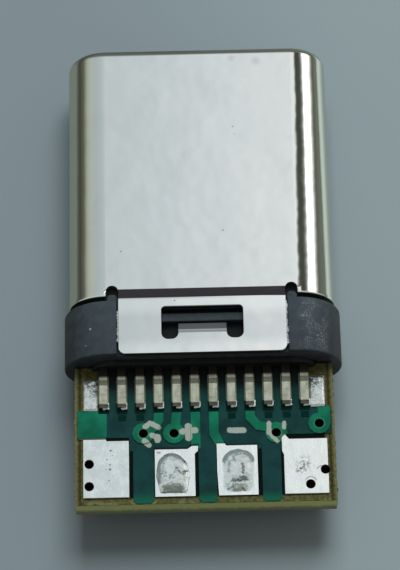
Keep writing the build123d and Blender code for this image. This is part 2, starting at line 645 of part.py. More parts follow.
def pad_stubs():
    """Short bare ends of the landing pads that no trace runs on from, seen through the mask."""
    half = TRACE_WIDTH / 2
    front = TAIL_END_Y - TAIL_PAD_OVERRUN - STUB_GAP
    stubs = Sketch()
    for position in range(2, CONTACTS_PER_ROW + 1):
        if position not in traced_positions():
            x = contact_x(position, TAIL_PITCH)
            stubs += plan(x - half, x + half, front - STUB_LENGTH, front)
    return stubs


def ground_lands():
    """The wide lands beside the two end tails, in plan."""
    inner = contact_x(CONTACTS_PER_ROW, TAIL_PITCH) + CONTACT_TAIL_WIDTH / 2
    outer = inner + GROUND_SOLDER_WIDTH
    rear = GROUND_SOLDER_FRONT_Y - GROUND_SOLDER_LENGTH
    right = plan(inner, outer, rear, GROUND_SOLDER_FRONT_Y)
    return right, mirror(right, about=Plane.YZ)


def mask_outline():
    """Where the upper solder mask lies: a centre field and three fingers between the pads."""
    edge = BOARD_WIDTH / 2 - MASK_EDGE_GAP
    ground_rear = GROUND_SOLDER_FRONT_Y - GROUND_SOLDER_LENGTH + MASK_EMBOSS_MARGIN
    inner = contact_x(CONTACTS_PER_ROW, TAIL_PITCH) + TAIL_PAD_WIDTH / 2
    field = plan(-inner, inner, ground_rear, WAFER_REAR_Y)
    left, middle_rear = board_point(-0.585, 0.390)
    right, field_rear = board_point(0.595, 0.492)
    field += plan(-edge, edge, field_rear, ground_rear)
    field += plan(left, right, middle_rear, field_rear)
    for from_share, to_share in ((-0.555, -0.394), (-0.053, 0.087), (0.433, 0.580)):
        left, finger_front = board_point(from_share, 0.409)
        right, _ = board_point(to_share, 0.409)
        finger = plan(left, right, BOARD_REAR_Y + MASK_REAR_GAP, finger_front)
        field += chamfer(finger.vertices().sort_by(Axis.Y)[:2], MASK_FINGER_CORNER)
    return field


def upper_mask():
    """The upper mask film, raised where copper lies beneath it and open at every pad."""
    pads = wire_pad_outlines().values()
    windows = Sketch() + [offset(pad, WINDOW_GAP, kind=Kind.INTERSECTION) for pad in pads]
    windows += tail_pads() + pad_stubs() + list(ground_lands())
    field = mask_outline() - windows
    raised = offset(hidden_copper(), MASK_EMBOSS_MARGIN, kind=Kind.INTERSECTION) & field
    body = upright(field, BOARD_TOP, MASK_TOP) + upright(raised, BOARD_TOP, EMBOSS_TOP)
    body -= upright(hidden_copper(), BOARD_TOP - 0.1, COPPER_TOP)
    return body - via_holes(VIA_RADIUS, -FAR, FAR)


def lower_mask():
    """The lower mask film: a plain field behind the lower tails, closed over the plated holes."""
    edge = BOARD_WIDTH / 2 - MASK_EDGE_GAP
    field = plan(-edge, edge, BOARD_REAR_Y + MASK_EDGE_GAP, WAFER_REAR_Y)
    field -= tail_pads() + list(ground_lands())
    return upright(field, -MASK_TOP, -BOARD_TOP)


def solder_joint_profile():
    """A film under the tail and a fillet that climbs its end, from the side."""
    film_top = COPPER_TOP + SOLDER_FILM
    points = [
        (TAIL_FLAT_Y, COPPER_TOP),
        (TAIL_FLAT_Y, film_top),
        (TAIL_END_Y, film_top),
        (TAIL_END_Y, film_top + SOLDER_FILLET_HEIGHT),
        (TAIL_END_Y - SOLDER_FILLET_LENGTH, COPPER_TOP),
    ]
    return make_face(Polyline(*points, close=True))


def solder_joints():
    """One joint under every upper tail."""
    width = CONTACT_TAIL_WIDTH + 2 * SOLDER_SIDE_MARGIN
    joint = across_x(solder_joint_profile(), width)
    positions = range(1, CONTACTS_PER_ROW + 1)
    return [Pos(contact_x(position, TAIL_PITCH), 0, 0) * joint for position in positions]


def ground_solder(land):
    """Solder heaped on a wide land, clear of the joint beside it."""
    body = upright(land, COPPER_TOP, COPPER_TOP + GROUND_SOLDER_HEIGHT)
    joint_half = CONTACT_TAIL_WIDTH / 2 + SOLDER_SIDE_MARGIN
    for position in (1, CONTACTS_PER_ROW):
        x = contact_x(position, TAIL_PITCH)
        body -= block(x - joint_half, x + joint_half, -FAR, FAR, 0, FAR)
    return chamfer(body.faces().sort_by(Axis.Z)[-1].edges(), GROUND_SOLDER_BEVEL)


def solder_bead(pad):
    """A low bead of solder left on a wire pad."""
    foot = BOARD_TOP + WIRE_PAD_THICKNESS
    box = pad.bounding_box()
    middle = box.center()
    width, length = box.size.X - 2 * BEAD_MARGIN, box.size.Y - 2 * BEAD_MARGIN
    outline = chamfer(Rectangle(width, length).vertices(), BEAD_CORNER_SHARE * width)
    body = upright(Pos(middle.X, middle.Y) * outline, foot, foot + BEAD_HEIGHT)
    return chamfer(body.faces().sort_by(Axis.Z)[-1].edges(), BEAD_BEVEL)


def copper(outline, side):
    """Copper foil of one outline, on the upper side or, with -1, on the lower one."""
    foil = upright(outline, BOARD_TOP, COPPER_TOP) - via_holes(VIA_RADIUS, -FAR, FAR)
    return foil if side > 0 else mirror(foil, about=Plane.XY)


def all_pieces():
    """Every node by name, still at the drawing datum."""
    row = contacts()
    upper, lower = wafers(row)
    spring_top, spring_bottom = both_sides(screening_spring)
    right_land, left_land = ground_lands()
    lower_outline = tail_pads() + [right_land, left_land]
    joints = solder_joints()
    pads = wire_pad_outlines()
    pieces = {
        "shell": shell(),
        "rear_collar": rear_collar(),
        "front_housing": front_housing(),
        "upper_wafer": upper,
        "lower_wafer": lower,
        "latch_plate": latch_plate(),
        "screening_spring_top": spring_top,
        "screening_spring_bottom": spring_bottom,
        **row,
        "circuit_board": circuit_board(),
        "copper_top": copper(hidden_copper() + tail_pads() + pad_stubs() + [right_land, left_land], 1),
        "copper_bottom": copper(lower_outline, -1),
        "solder_mask_top": upper_mask(),
        "solder_mask_bottom": lower_mask(),
        "solder_joints_top": joints,
        "solder_joints_bottom": [mirror(joint, about=Plane.XY) for joint in joints],
        "ground_solder_left": ground_solder(left_land),
        "ground_solder_right": ground_solder(right_land),
        "solder_bead_2": solder_bead(pads["wire_pad_2"]),
        "solder_bead_3": solder_bead(pads["wire_pad_3"]),
    }
    for name, outline in pads.items():
        pad = upright(outline, BOARD_TOP, BOARD_TOP + WIRE_PAD_THICKNESS)
        pieces[name] = pad - via_holes(VIA_RADIUS, -FAR, FAR)
    return pieces


def solids_of(shape):
    """The plain solids of a shape or of a list of shapes."""
    shapes = shape if isinstance(shape, list) else [shape]
    return [solid for one in shapes for solid in one.solids()]


os.makedirs("parts", exist_ok=True)
for name, shape in all_pieces().items():
    placed = [Pos(*ORIGIN_SHIFT) * solid for solid in solids_of(shape)]
    export_step(placed[0] if len(placed) == 1 else Compound(children=placed), f"parts/{name}.step")
    print(name, len(placed), "solid" if len(placed) == 1 else "solids")
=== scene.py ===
# %% [markdown]
# A small cable plug on its solder board
#
# The object is a flat, reversible cable plug: a drawn metal shell, a black moulded collar, and a
# green board with solder pads for the wires. It is only 15 mm long, so it is seen here as under a
# magnifier, where scuffs, burrs and lumps of old solder are as large as the parts themselves.
# The exact solids come from CAD. Blender adds what a drawing leaves out: worn edges, reflections,
# poured solder and paint. We start by loading the solids, and keep their box, inside which the
# softened copies are held.

# %% Load the CAD model as the fixed frame
import math
import bmesh
import bpy
import numpy as np
from mathutils import Matrix, Vector, noise


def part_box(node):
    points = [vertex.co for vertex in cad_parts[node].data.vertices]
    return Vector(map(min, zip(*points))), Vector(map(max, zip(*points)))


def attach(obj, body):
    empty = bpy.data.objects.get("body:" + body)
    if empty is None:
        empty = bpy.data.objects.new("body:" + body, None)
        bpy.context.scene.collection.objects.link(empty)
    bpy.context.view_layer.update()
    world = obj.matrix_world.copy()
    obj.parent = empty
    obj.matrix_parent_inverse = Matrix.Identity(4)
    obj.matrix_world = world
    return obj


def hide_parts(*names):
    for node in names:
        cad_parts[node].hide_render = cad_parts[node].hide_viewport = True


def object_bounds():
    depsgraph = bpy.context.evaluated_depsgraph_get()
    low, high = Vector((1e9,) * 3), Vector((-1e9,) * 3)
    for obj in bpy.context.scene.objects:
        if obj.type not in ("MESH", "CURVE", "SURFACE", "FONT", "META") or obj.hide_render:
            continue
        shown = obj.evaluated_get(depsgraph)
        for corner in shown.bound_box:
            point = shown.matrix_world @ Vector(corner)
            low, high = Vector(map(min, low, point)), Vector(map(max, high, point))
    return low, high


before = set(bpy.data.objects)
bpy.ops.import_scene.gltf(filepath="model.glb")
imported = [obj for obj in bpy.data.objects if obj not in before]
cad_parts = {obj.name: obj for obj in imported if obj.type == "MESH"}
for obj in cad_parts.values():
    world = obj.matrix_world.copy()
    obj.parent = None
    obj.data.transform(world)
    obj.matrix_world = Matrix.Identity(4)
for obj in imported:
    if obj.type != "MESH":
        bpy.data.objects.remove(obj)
cad_box = [list(corner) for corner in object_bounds()]
MM = 0.001
print("CAD nodes:", len(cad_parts), "box in mm:", [[round(v / MM, 2) for v in c] for c in cad_box])

# %% [markdown]
# The camera comes first, because every later choice is judged through it. The photograph was taken
# with a long lens from above the tail of the plug, tilted a little from the vertical and rolled by
# about a degree. A camera could be aimed with a constraint, but a matrix that is built from the
# line of sight keeps the roll exact and leaves nothing live in the file.

# %% Camera
TILT = math.radians(24.0)
ROLL = math.radians(1.3)
AIM = Vector((-0.044, -0.240, 1.42)) * MM
DISTANCE = 80.53 * MM
FOCAL_LENGTH = 163.07

back = Vector((0, -math.sin(TILT), math.cos(TILT)))
level_right = Vector((1, 0, 0))
level_up = back.cross(level_right)
right = math.cos(ROLL) * level_right - math.sin(ROLL) * level_up
up = math.sin(ROLL) * level_right + math.cos(ROLL) * level_up
camera = bpy.data.objects.new("camera", bpy.data.cameras.new("camera"))
facing = Matrix((right, up, back)).transposed().to_4x4()
camera.matrix_world = Matrix.Translation(AIM + back * DISTANCE) @ facing
camera.data.lens = FOCAL_LENGTH
camera.data.sensor_width = 36.0
camera.data.clip_start = 0.001
camera.data.clip_end = 10.0
bpy.context.scene.collection.objects.link(camera)
bpy.context.scene.camera = camera
print("camera at mm", [round(v / MM, 2) for v in camera.matrix_world.translation])

# %% [markdown]
# Materials are node trees, and node trees are tedious to read as lists of links. The class below
# wraps one output socket, so that shader maths can be written as ordinary Python: adding two
# signals adds a Math node. A second class owns a tree and makes every other node in one method.

# %% A socket that can stand in an expression
class Signal:
    """One output socket, with Python's operators turned into Math nodes."""

    def __init__(self, nodes, socket):
        self.nodes = nodes
        self.socket = socket

    def maths(self, operation, *values, clamp=False):
        """Any other Math node."""
        settings = {"operation": operation, "use_clamp": clamp}
        return self.nodes.make("ShaderNodeMath", settings, dict(enumerate(values)))

    def __add__(self, other):
        return self.maths("ADD", self, other)

    def __radd__(self, other):
        return self.maths("ADD", other, self)

    def __sub__(self, other):
        return self.maths("SUBTRACT", self, other)

    def __rsub__(self, other):
        return self.maths("SUBTRACT", other, self)

    def __mul__(self, other):
        return self.maths("MULTIPLY", self, other)

    def __rmul__(self, other):
        return self.maths("MULTIPLY", other, self)

    def __truediv__(self, other):
        return self.maths("DIVIDE", self, other)

    def __abs__(self):
        return self.maths("ABSOLUTE", self)

    def clamped(self):
        """The value, held between 0 and 1."""
        return self.maths("ADD", self, 0.0, clamp=True)

    def larger(self, other):
        return self.maths("MAXIMUM", self, other)

    def root(self):
        return self.maths("SQRT", self)

    def span(self, low, high):
        """0 below low and 1 above high, with a soft slope between."""
        settings = {"interpolation_type": "SMOOTHSTEP"}
        inputs = {"Value": self, "From Min": low, "From Max": high}
        return self.nodes.make("ShaderNodeMapRange", settings, inputs)

    def between(self, low, high, soft):
        """1 from low to high, and 0 outside, with soft ends."""
        return self.span(low - soft, low + soft) * (1 - self.span(high - soft, high + soft))


# %% A tree that makes its nodes in one method
class Nodes:
    """A node tree and the one method that adds any node to it."""

    def __init__(self, tree):
        self.tree = tree

    def make(self, kind, settings=None, inputs=None, output=0):
        """Adds a node with its settings and inputs, and gives one output."""
        node = self.tree.nodes.new(kind)
        for key, value in (settings or {}).items():
            if key == "stops":
                self.set_stops(node.color_ramp, value)
            else:
                setattr(node, key, value)
        for key, value in (inputs or {}).items():
            self.feed(node.inputs[key], value)
        return Signal(self, node.outputs[output]) if node.outputs else None

    def set_stops(self, ramp, stops):
        """Fills a colour ramp from pairs of place and colour."""
        while len(ramp.elements) < len(stops):
            ramp.elements.new(1.0)
        for element, (place, colour) in zip(ramp.elements, stops):
            element.position = place
            element.color = (*colour, 1)

    def feed(self, socket, value):
        """Links a signal to an input, or sets the input's own value."""
        if isinstance(value, Signal):
            self.tree.links.new(value.socket, socket)
        elif hasattr(value, "__len__") and socket.type == "RGBA":
            socket.default_value = (*value[:3], 1)
        else:
            socket.default_value = value

    def axes(self, vector):
        """The three parts of a vector."""
        return [self.make("ShaderNodeSeparateXYZ", None, {0: vector}, output=axis) for axis in "XYZ"]

    def blend(self, factor, low, high):
        """A colour between two colours."""
        inputs = {0: factor, 6: low, 7: high}
        return self.make("ShaderNodeMix", {"data_type": "RGBA"}, inputs, output=2)

    def layered(self, colour, *layers):
        """A colour under layers of paint, each with its share and its own colour."""
        for share, painted_light_and_marks in layers:
            colour = self.blend(share, colour, painted_light_and_marks)
        return colour


# %% [markdown]
# A finish on this scale is worked out in millimetres on the object itself, so that a scuff stays
# where it is when the view changes. Each finish below starts from the same few things: a Principled
# shader, the place on the object in millimetres, and noise at a size that is named in millimetres.

# %% A finish on the object's own coordinates
class Finish(Nodes):
    """A material with its Principled shader and its place on the object in millimetres."""

    def __init__(self, name, **constants):
        self.material = bpy.data.materials.new(name)
        self.material.use_nodes = True
        super().__init__(self.material.node_tree)
        self.shader = self.tree.nodes["Principled BSDF"]
        for key, value in constants.items():
            self.feed(self.shader.inputs[key.replace("_", " ")], value)
        place = self.make("ShaderNodeTexCoord", output="Object")
        inputs = {0: place, "Scale": 1 / MM}
        self.place = self.make("ShaderNodeVectorMath", {"operation": "SCALE"}, inputs)
        self.x, self.y, self.z = self.axes(self.place)

    def stretched(self, stretch, shift=(0, 0, 0)):
        """The place, moved and then scaled by a vector."""
        moved = self.make("ShaderNodeVectorMath", {"operation": "ADD"}, {0: self.place, 1: shift})
        return self.make("ShaderNodeVectorMath", {"operation": "MULTIPLY"}, {0: moved, 1: stretch})

    def grain(self, size, detail=3.0, rough=0.55, stretch=(1, 1, 1), shift=(0, 0, 0)):
        """Noise from 0 to 1 whose features are about size millimetres across."""
        place = self.stretched(stretch, shift)
        inputs = {"Vector": place, "Scale": 1 / size, "Detail": detail, "Roughness": rough}
        return self.make("ShaderNodeTexNoise", None, inputs)

    def cells(self, size, shift=(0, 0, 0)):
        """Distance to scattered points that lie about size millimetres apart."""
        inputs = {"Vector": self.stretched((1, 1, 1), shift), "Scale": 1 / size}
        return self.make("ShaderNodeTexVoronoi", None, inputs)

    def within(self, x, y, z):
        """1 inside a box that is given as low, high and softness along each axis."""
        return self.x.between(*x) * self.y.between(*y) * self.z.between(*z)

    def spot(self, x, y, radius, soft=0.4):
        """1 inside a round spot that is seen from above, and 0 outside it."""
        across = self.x - x
        along = self.y - y
        reach = (across * across + along * along).root()
        return 1 - reach.span(radius * (1 - soft), radius * (1 + soft))

    def stroke(self, start, end, width, wander=0.0, soft=0.015):
        """1 along a straight pen stroke that is seen from above, with round ends."""
        run = (end[0] - start[0], end[1] - start[1])
        square = run[0] ** 2 + run[1] ** 2
        share = (((self.x - start[0]) * run[0] + (self.y - start[1]) * run[1]) / square).clamped()
        across = self.x - start[0] - share * run[0]
        along = self.y - start[1] - share * run[1]
        reach = (across * across + along * along).root() + wander
        return 1 - reach.span(width / 2 - soft, width / 2 + soft)

    def strokes(self, shapes, wander=0.0, soft=0.015):
        """1 along any of several pen strokes, each with its start, end and width."""
        inked = self.stroke(*shapes[0], wander, soft)
        for shape in shapes[1:]:
            inked = inked.larger(self.stroke(*shape, wander, soft))
        return inked

    def set(self, **values):
        """Feeds inputs of the shader by name."""
        for key, value in values.items():
            self.feed(self.shader.inputs[key.replace("_", " ")], value)

    def relief(self, height, depth):
        """Bump whose height runs from 0 to 1 over depth millimetres."""
        inputs = {"Height": height, "Distance": depth * MM}
        self.feed(self.shader.inputs["Normal"], self.make("ShaderNodeBump", None, inputs))


# %% [markdown]
# Bright metal shows little of its own: it shows the room. The photograph's long white streak down
# one side of the shell is a window, and the dark line beside it is a gap between two of them. The
# room is painted on the world as bands across the sky, for glossy rays only, so that the metal has
# something to mirror while paint, plastic and paper are lit by one even, colourless sky. A real room
# could be modelled instead, but bands can be moved one by one until each streak falls in its place.
# The window isn't quite parallel to the plug, so on that side the bands lean as they run along it.

# %% The room that the metal mirrors
world = bpy.data.worlds.new("soft_room")
world.use_nodes = True
world.node_tree.nodes.clear()
bpy.context.scene.world = world
sky = Nodes(world.node_tree)
direction = sky.make("ShaderNodeTexCoord", output="Generated")
across, along, height = sky.axes(direction)
LEAN = 12.5 / 360
lean = (along.span(0.38, 0.50) - 0.5) * across.span(0.02, 0.12) * LEAN
angle = across.maths("ARCTAN2", across, height) / math.tau + 0.5 - lean

ROOM = (
    (-180, (0.06, 0.06, 0.05)), (-88, (0.055, 0.058, 0.043)), (-72.6, (0.116, 0.122, 0.091)),
    (-59, (0.40, 0.42, 0.35)), (-45, (0.455, 0.496, 0.437)), (-29.5, (0.426, 0.496, 0.498)),
    (-14.3, (0.473, 0.541, 0.550)), (-2, (0.564, 0.624, 0.642)), (0, (0.664, 0.713, 0.742)),
    (1.9, (0.757, 0.793, 0.807)), (4.8, (0.86, 0.89, 0.88)), (8.5, (0.86, 0.89, 0.87)),
    (14, (0.82, 0.84, 0.81)), (17, (0.24, 0.26, 0.23)), (19, (0.11, 0.12, 0.10)),
    (21, (0.06, 0.065, 0.05)), (31, (0.06, 0.065, 0.05)), (36, (0.16, 0.17, 0.15)), (40, (0.50, 0.52, 0.50)),
    (43.5, (1.60, 1.66, 1.62)), (62, (1.70, 1.75, 1.70)), (66, (0.95, 0.98, 0.93)),
    (70, (0.50, 0.51, 0.46)), (74, (0.20, 0.21, 0.175)), (79, (0.10, 0.105, 0.08)),
    (84, (0.14, 0.145, 0.12)), (91, (0.14, 0.15, 0.13)), (180, (0.14, 0.15, 0.13)),
)
stops = [(degrees / 360 + 0.5, colour) for degrees, colour in ROOM]
bands = sky.make("ShaderNodeValToRGB", {"stops": stops}, {0: angle})
FRONT = (
    (-1.0, (0.44, 0.45, 0.44)), (-0.90, (0.42, 0.43, 0.42)), (-0.80, (0.19, 0.19, 0.175)),
    (-0.35, (0.17, 0.17, 0.155)), (-0.10, (0.42, 0.44, 0.43)), (0.15, (0.56, 0.59, 0.59)),
)
front_stops = [((reach + 1) / 2, colour) for reach, colour in FRONT]
front = sky.make("ShaderNodeValToRGB", {"stops": front_stops}, {0: (along + 1) / 2})
banded = sky.blend(along.span(0.10, 0.24), front, bands)
mirrored = sky.blend(along.span(0.62, 0.80), banded, (0.30, 0.31, 0.315))
glossy = sky.make("ShaderNodeLightPath", output="Is Glossy Ray")
EVEN_SKY = (0.36, 0.355, 0.33)
seen = sky.blend(glossy, EVEN_SKY, mirrored)
background = sky.make("ShaderNodeBackground", None, {"Color": seen, "Strength": 1.0})
sky.make("ShaderNodeOutputWorld", None, {"Surface": background})
print("room bands:", len(ROOM))

# %% [markdown]
# One broad, soft lamp stands behind the nose of the plug. It throws the faint shadow that lies
# below the board's rear edge. It is hidden from glossy rays, or it would add a second streak. The
# plug lies on grey card, painted darker to its left as painted shade. Its rounded sides mirror the
# card beside them, so in the metal the card has tones of its own: those of the table further out,
# which the picture doesn't show. Its rounded sides mirror the card beside them, so for glossy rays
# the card has painted reflections of its own: painted shade to the left of the plug and a painted
# bright band to its right.

# %% Floor and key lamp
def aimed(lamp, place, target):
    """Puts a lamp at a place with its face towards a target."""
    turn = (target - place).to_track_quat("-Z", "Y").to_matrix().to_4x4()
    lamp.matrix_world = Matrix.Translation(place) @ turn


KEY_PLACE = Vector((0.035, 0.17, 0.22))
key = bpy.data.objects.new("key_lamp", bpy.data.lights.new("key_lamp", "AREA"))
key.data.size = 0.16
key.data.energy = 0.90
key.data.color = (0.95, 0.99, 1.0)
key.visible_glossy = False
aimed(key, KEY_PLACE, AIM)
bpy.context.scene.collection.objects.link(key)

FLOOR_REACH = 0.6
floor_mesh = bpy.data.meshes.new("floor")
floor_corners = [(x * FLOOR_REACH, y * FLOOR_REACH, 0) for x, y in ((-1, -1), (1, -1), (1, 1), (-1, 1))]
floor_mesh.from_pydata(floor_corners, [], [(0, 1, 2, 3)])
floor = bpy.data.objects.new("floor", floor_mesh)
bpy.context.scene.collection.objects.link(floor)
paper = Finish("pale_card", Roughness=0.9)
# painted shade: the card is darker to the left
card_painted_shade = paper.blend(paper.x.span(-5.5, 5.5), (0.176, 0.217, 0.241), (0.216, 0.265, 0.284))
# painted reflections: the card as the metal sees it, dark to the left and with a bright band to the right
near_right = paper.blend(paper.x.span(5.2, 8.5), (0.20, 0.24, 0.225), (0.46, 0.52, 0.46))
right_card = paper.blend(paper.x.span(9.0, 17.0), near_right, (0.105, 0.117, 0.093))
left_card = paper.blend(paper.x.span(-22.0, -9.0), (0.055, 0.057, 0.044), (0.145, 0.168, 0.145))
card_painted_reflections = paper.blend(paper.x.span(-1.0, 1.0), left_card, right_card)
in_metal = paper.make("ShaderNodeLightPath", output="Is Glossy Ray")
paper.set(Base_Color=paper.blend(in_metal, card_painted_shade, card_painted_reflections))
paper.relief(paper.grain(0.3), 0.002)
floor_mesh.materials.append(paper.material)
bpy.context.scene.view_settings.view_transform = "Standard"

# %% [markdown]
# The CAD meshes are loose triangles with knife edges, and no stamped or moulded edge is that sharp.
# We could round edges in the shader, but the exported model would lose that. So a copy of a node is
# welded, its flat areas are made whole again, and a narrow bevel is cut along every real edge. The
# bevel is only a few hundredths of a millimetre, and it is what catches the light.
#
# Smooth shading has one trap. The shading at a corner is shared by all the faces that meet there,
# and a long face carries it to its far end, as a dark spike on a mirror-like sheet. There are two
# cures. Cuts across the sheet keep a crease in the short face beside it, and every corner of a
# large flat face is given that face's own direction.

# %% Copies with softened edges
MERGE_DISTANCE = 0.0002 * MM
FLAT_ANGLE = math.radians(1.0)
SHARP_SHADING = math.radians(50)
LARGE_FACE = 12


def link_piece(name, mesh, material=None):
    """An object for a mesh whose place is in its vertices."""
    piece = bpy.data.objects.new(name, mesh)
    bpy.context.scene.collection.objects.link(piece)
    if material:
        mesh.materials.clear()
        mesh.materials.append(material)
    return piece


def settled(piece):
    """The piece with its modifiers turned into plain mesh."""
    graph = bpy.context.evaluated_depsgraph_get()
    mesh = bpy.data.meshes.new_from_object(piece.evaluated_get(graph))
    piece.modifiers.clear()
    old = piece.data
    piece.data = mesh
    bpy.data.meshes.remove(old)
    return piece


def welded(nodes, cuts=()):
    """One mesh from copies of CAD nodes, with doubles merged and flat areas made whole.

    Each cut is a place along the plug where faces are split.
    """
    whole = bmesh.new()
    for node in nodes:
        whole.from_mesh(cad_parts[node].data)
    bmesh.ops.remove_doubles(whole, verts=whole.verts, dist=MERGE_DISTANCE)
    bmesh.ops.dissolve_limit(whole, angle_limit=FLAT_ANGLE, verts=whole.verts, edges=whole.edges)
    for cut in cuts:
        everything = [*whole.verts, *whole.edges, *whole.faces]
        bmesh.ops.bisect_plane(whole, geom=everything, plane_co=(0, cut * MM, 0), plane_no=(0, 1, 0))
    mesh = bpy.data.meshes.new("welded")
    whole.to_mesh(mesh)
    whole.free()
    return mesh


def mark_edges(mesh, sharp, spare):
    """Gives each edge that is sharper than an angle a bevel weight, unless it is to be spared."""
    shape = bmesh.new()
    shape.from_mesh(mesh)
    weight = shape.edges.layers.float.new("bevel_weight_edge")
    for edge in shape.edges:
        middle = (edge.verts[0].co + edge.verts[1].co) / 2 / MM
        if len(edge.link_faces) == 2 and edge.calc_face_angle() > math.radians(sharp):
            edge[weight] = 0.0 if spare and spare(middle) else 1.0
    shape.to_mesh(mesh)
    shape.free()


def keep_in(mesh, low, high):
    """Moves each vertex that a bevel pushed out of a box back to the side of the box."""
    for vertex in mesh.vertices:
        vertex.co = [min(max(value, least), most) for value, least, most in zip(vertex.co, low, high)]


def level_flats(mesh):
    """Gives the corners of every face with many corners that face's own normal."""
    normals = [Vector(corner.vector) for corner in mesh.corner_normals]
    for face in mesh.polygons:
        if face.loop_total > LARGE_FACE:
            for corner in face.loop_indices:
                normals[corner] = face.normal.copy()
    mesh.normals_split_custom_set(normals)


def hand_in(piece, nodes=()):
    """Lets a piece ride on the plug, where it may stand for CAD nodes, which it hides."""
    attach(piece, "root")
    if nodes:
        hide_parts(*nodes)
    print(piece.name, "faces:", len(piece.data.polygons))


def softened(name, nodes, material, edge, segments=2, sharp=30, spare=None, cuts=()):
    """A piece that stands for CAD nodes, with every edge above an angle bevelled."""
    piece = link_piece(name, welded(nodes, cuts), material)
    mark_edges(piece.data, sharp, spare)
    bevel = piece.modifiers.new("edge", "BEVEL")
    bevel.width = edge * MM
    bevel.segments = segments
    bevel.limit_method = "WEIGHT"
    bevel.use_clamp_overlap = False
    settled(piece)
    keep_in(piece.data, *cad_box)
    piece.data.shade_smooth()
    piece.data.set_sharp_from_angle(angle=SHARP_SHADING)
    normals = piece.modifiers.new("normals", "WEIGHTED_NORMAL")
    normals.keep_sharp = True
    normals.weight = 100
    settled(piece)
    level_flats(piece.data)
    hand_in(piece, nodes)


# %% [markdown]
# Nickel on drawn steel is almost a mirror. What tells the eye that it is thin sheet is how the
# reflections waver, so a slow ripple goes into the bump. Handling leaves smears that are rougher
# than the plate around them, hairlines along the way it slides, and a few dark pin holes. The tongue
# pressed into the window and the sheet's cut rear edge are duller, as no tool polished them.

# %% Nickel finish of the shell
nickel = Finish("nickel_plate")
ripple = nickel.grain(1.5, detail=2.0) + nickel.grain(0.35, detail=1.0) * 0.06
smear = nickel.grain(1.1, detail=4.0, stretch=(1.4, 0.8, 1.0)).span(0.50, 0.75)
hairline = nickel.grain(0.035, detail=1.0, stretch=(1, 0.04, 1)).span(0.64, 0.74)
pits = 1 - nickel.cells(0.55, shift=(3.1, 0.4, 0)).span(0.035, 0.06)
pitted = pits * nickel.grain(1.3, shift=(7, 2, 0)).span(0.56, 0.66)
on_tab = nickel.z.span(2.78, 2.82)
tongue = nickel.within((-1.0, 1.0, 0.04), (-2.42, -1.90, 0.02), (2.35, 2.79, 0.03))
smudge = nickel.spot(1.10, 7.13, 0.10, soft=0.9) + nickel.spot(1.89, 7.00, 0.12, soft=0.9)
grit = nickel.spot(1.154, 4.412, 0.016) + nickel.spot(0.413, 5.487, 0.014)
# painted shade: the rolled front rim is a darker olive
nose_rim_painted_shade = nickel.y.span(7.25, 7.36) * nickel.z.span(1.9, 2.3)
# painted highlights: the tab is lighter towards both ends than in its middle
tab_middle = nickel.y.between(-2.75, -1.75, 0.22)
tab_painted_highlights = nickel.blend(tab_middle, (0.955, 0.965, 0.94), (0.80, 0.81, 0.80))
cut_end = 1 - nickel.y.span(-3.088, -3.072)
# painted shade: the sloped joggle of the tab is painted dark
joggle = nickel.within((-2.60, 2.60, 0.01), (-1.315, -0.862, 0.006), (2.55, 2.834, 0.003))
nickel.set(Base_Color=nickel.layered(
    nickel.blend(smear, (0.865, 0.88, 0.865), (0.825, 0.84, 0.825)),
    (smudge * 0.22 + grit * 0.5, (0.22, 0.23, 0.22)),
    (nose_rim_painted_shade * 0.85, (0.25, 0.26, 0.20)),
    (on_tab, tab_painted_highlights),
    (joggle, (0.105, 0.095, 0.105)),
    (cut_end, (0.06, 0.06, 0.055)),
    (pitted, (0.16, 0.16, 0.14)),
    (tongue, (0.085, 0.09, 0.095)),
))
nickel.set(Metallic=1 - tongue * 0.8)
nickel.set(Roughness=0.065 + smear * 0.05 + hairline * 0.07 + pitted * 0.3 + (tongue + cut_end) * 0.45)
on_round = abs(nickel.x).span(2.9, 3.2)
peel = nickel.grain(0.10, detail=1.0) * on_round * 0.012
nickel.relief(ripple + peel + hairline * 0.004 - pitted * 0.03 + tongue * nickel.grain(0.06) * 0.3, 0.012)

# %% [markdown]
# The shell is drawn from one tube, with its tabs cut free by two slots a side. Where a slot runs
# into the joggle, its foot has curves shorter than the bevel is wide, and they are left as they are.

# %% Shell
def at_slot_foot(place):
    """The short curves where a relief slot runs into the joggle, which are too small to bevel."""
    return 2.45 < abs(place.x) < 3.0 and -0.95 < place.y < -0.68


softened(
    "plug_shell", ["shell"], nickel.material, 0.018,
    spare=at_slot_foot, cuts=(-0.62, -0.80, -0.98),
)

# %% [markdown]
# The collar is glass-filled plastic: almost black, a little blue, and dull, and it is painted lighter
# towards its top as painted light. The ring, the lock bars in the windows and the small keys are one
# moulding, so they are one piece here too. Its right shoulder has been rubbed chalky. The insulators
# further in are black plastic painted darker still, as painted shade under the collar.

# %% Collar
plastic = Finish("black_moulding", IOR=1.5)
mottle = plastic.grain(0.25, detail=5.0)
# painted light: the collar is lighter towards its top
crest = plastic.z.span(2.0, 2.85)
top_painted_light = plastic.blend(crest, (0.010, 0.014, 0.019), (0.023, 0.034, 0.044))
shown = plastic.blend(mottle.span(0.3, 0.7) * 0.5, top_painted_light, (0.045, 0.056, 0.066))
on_shoulder = plastic.x.between(2.98, 3.80, 0.15) * plastic.y.between(-3.0, -1.40, 0.12)
on_shoulder = on_shoulder * plastic.z.span(2.0, 2.3)
haze = plastic.grain(0.030, detail=5.0, stretch=(1, 0.5, 1)).span(0.45, 0.75)
chalk = haze * plastic.grain(0.35, detail=2.0).span(0.35, 0.60) * on_shoulder
fleck = plastic.spot(-3.415, -2.20, 0.030) + plastic.spot(-3.55, -2.72, 0.018)
worn = (chalk * 0.65 + fleck * 0.9).clamped()
plastic.set(Base_Color=plastic.blend(worn, shown, (0.27, 0.31, 0.32)))
plastic.set(Roughness=0.42 + mottle * 0.25)
plastic.relief(plastic.grain(0.05, detail=3.0) + mottle + worn * 0.6, 0.008)
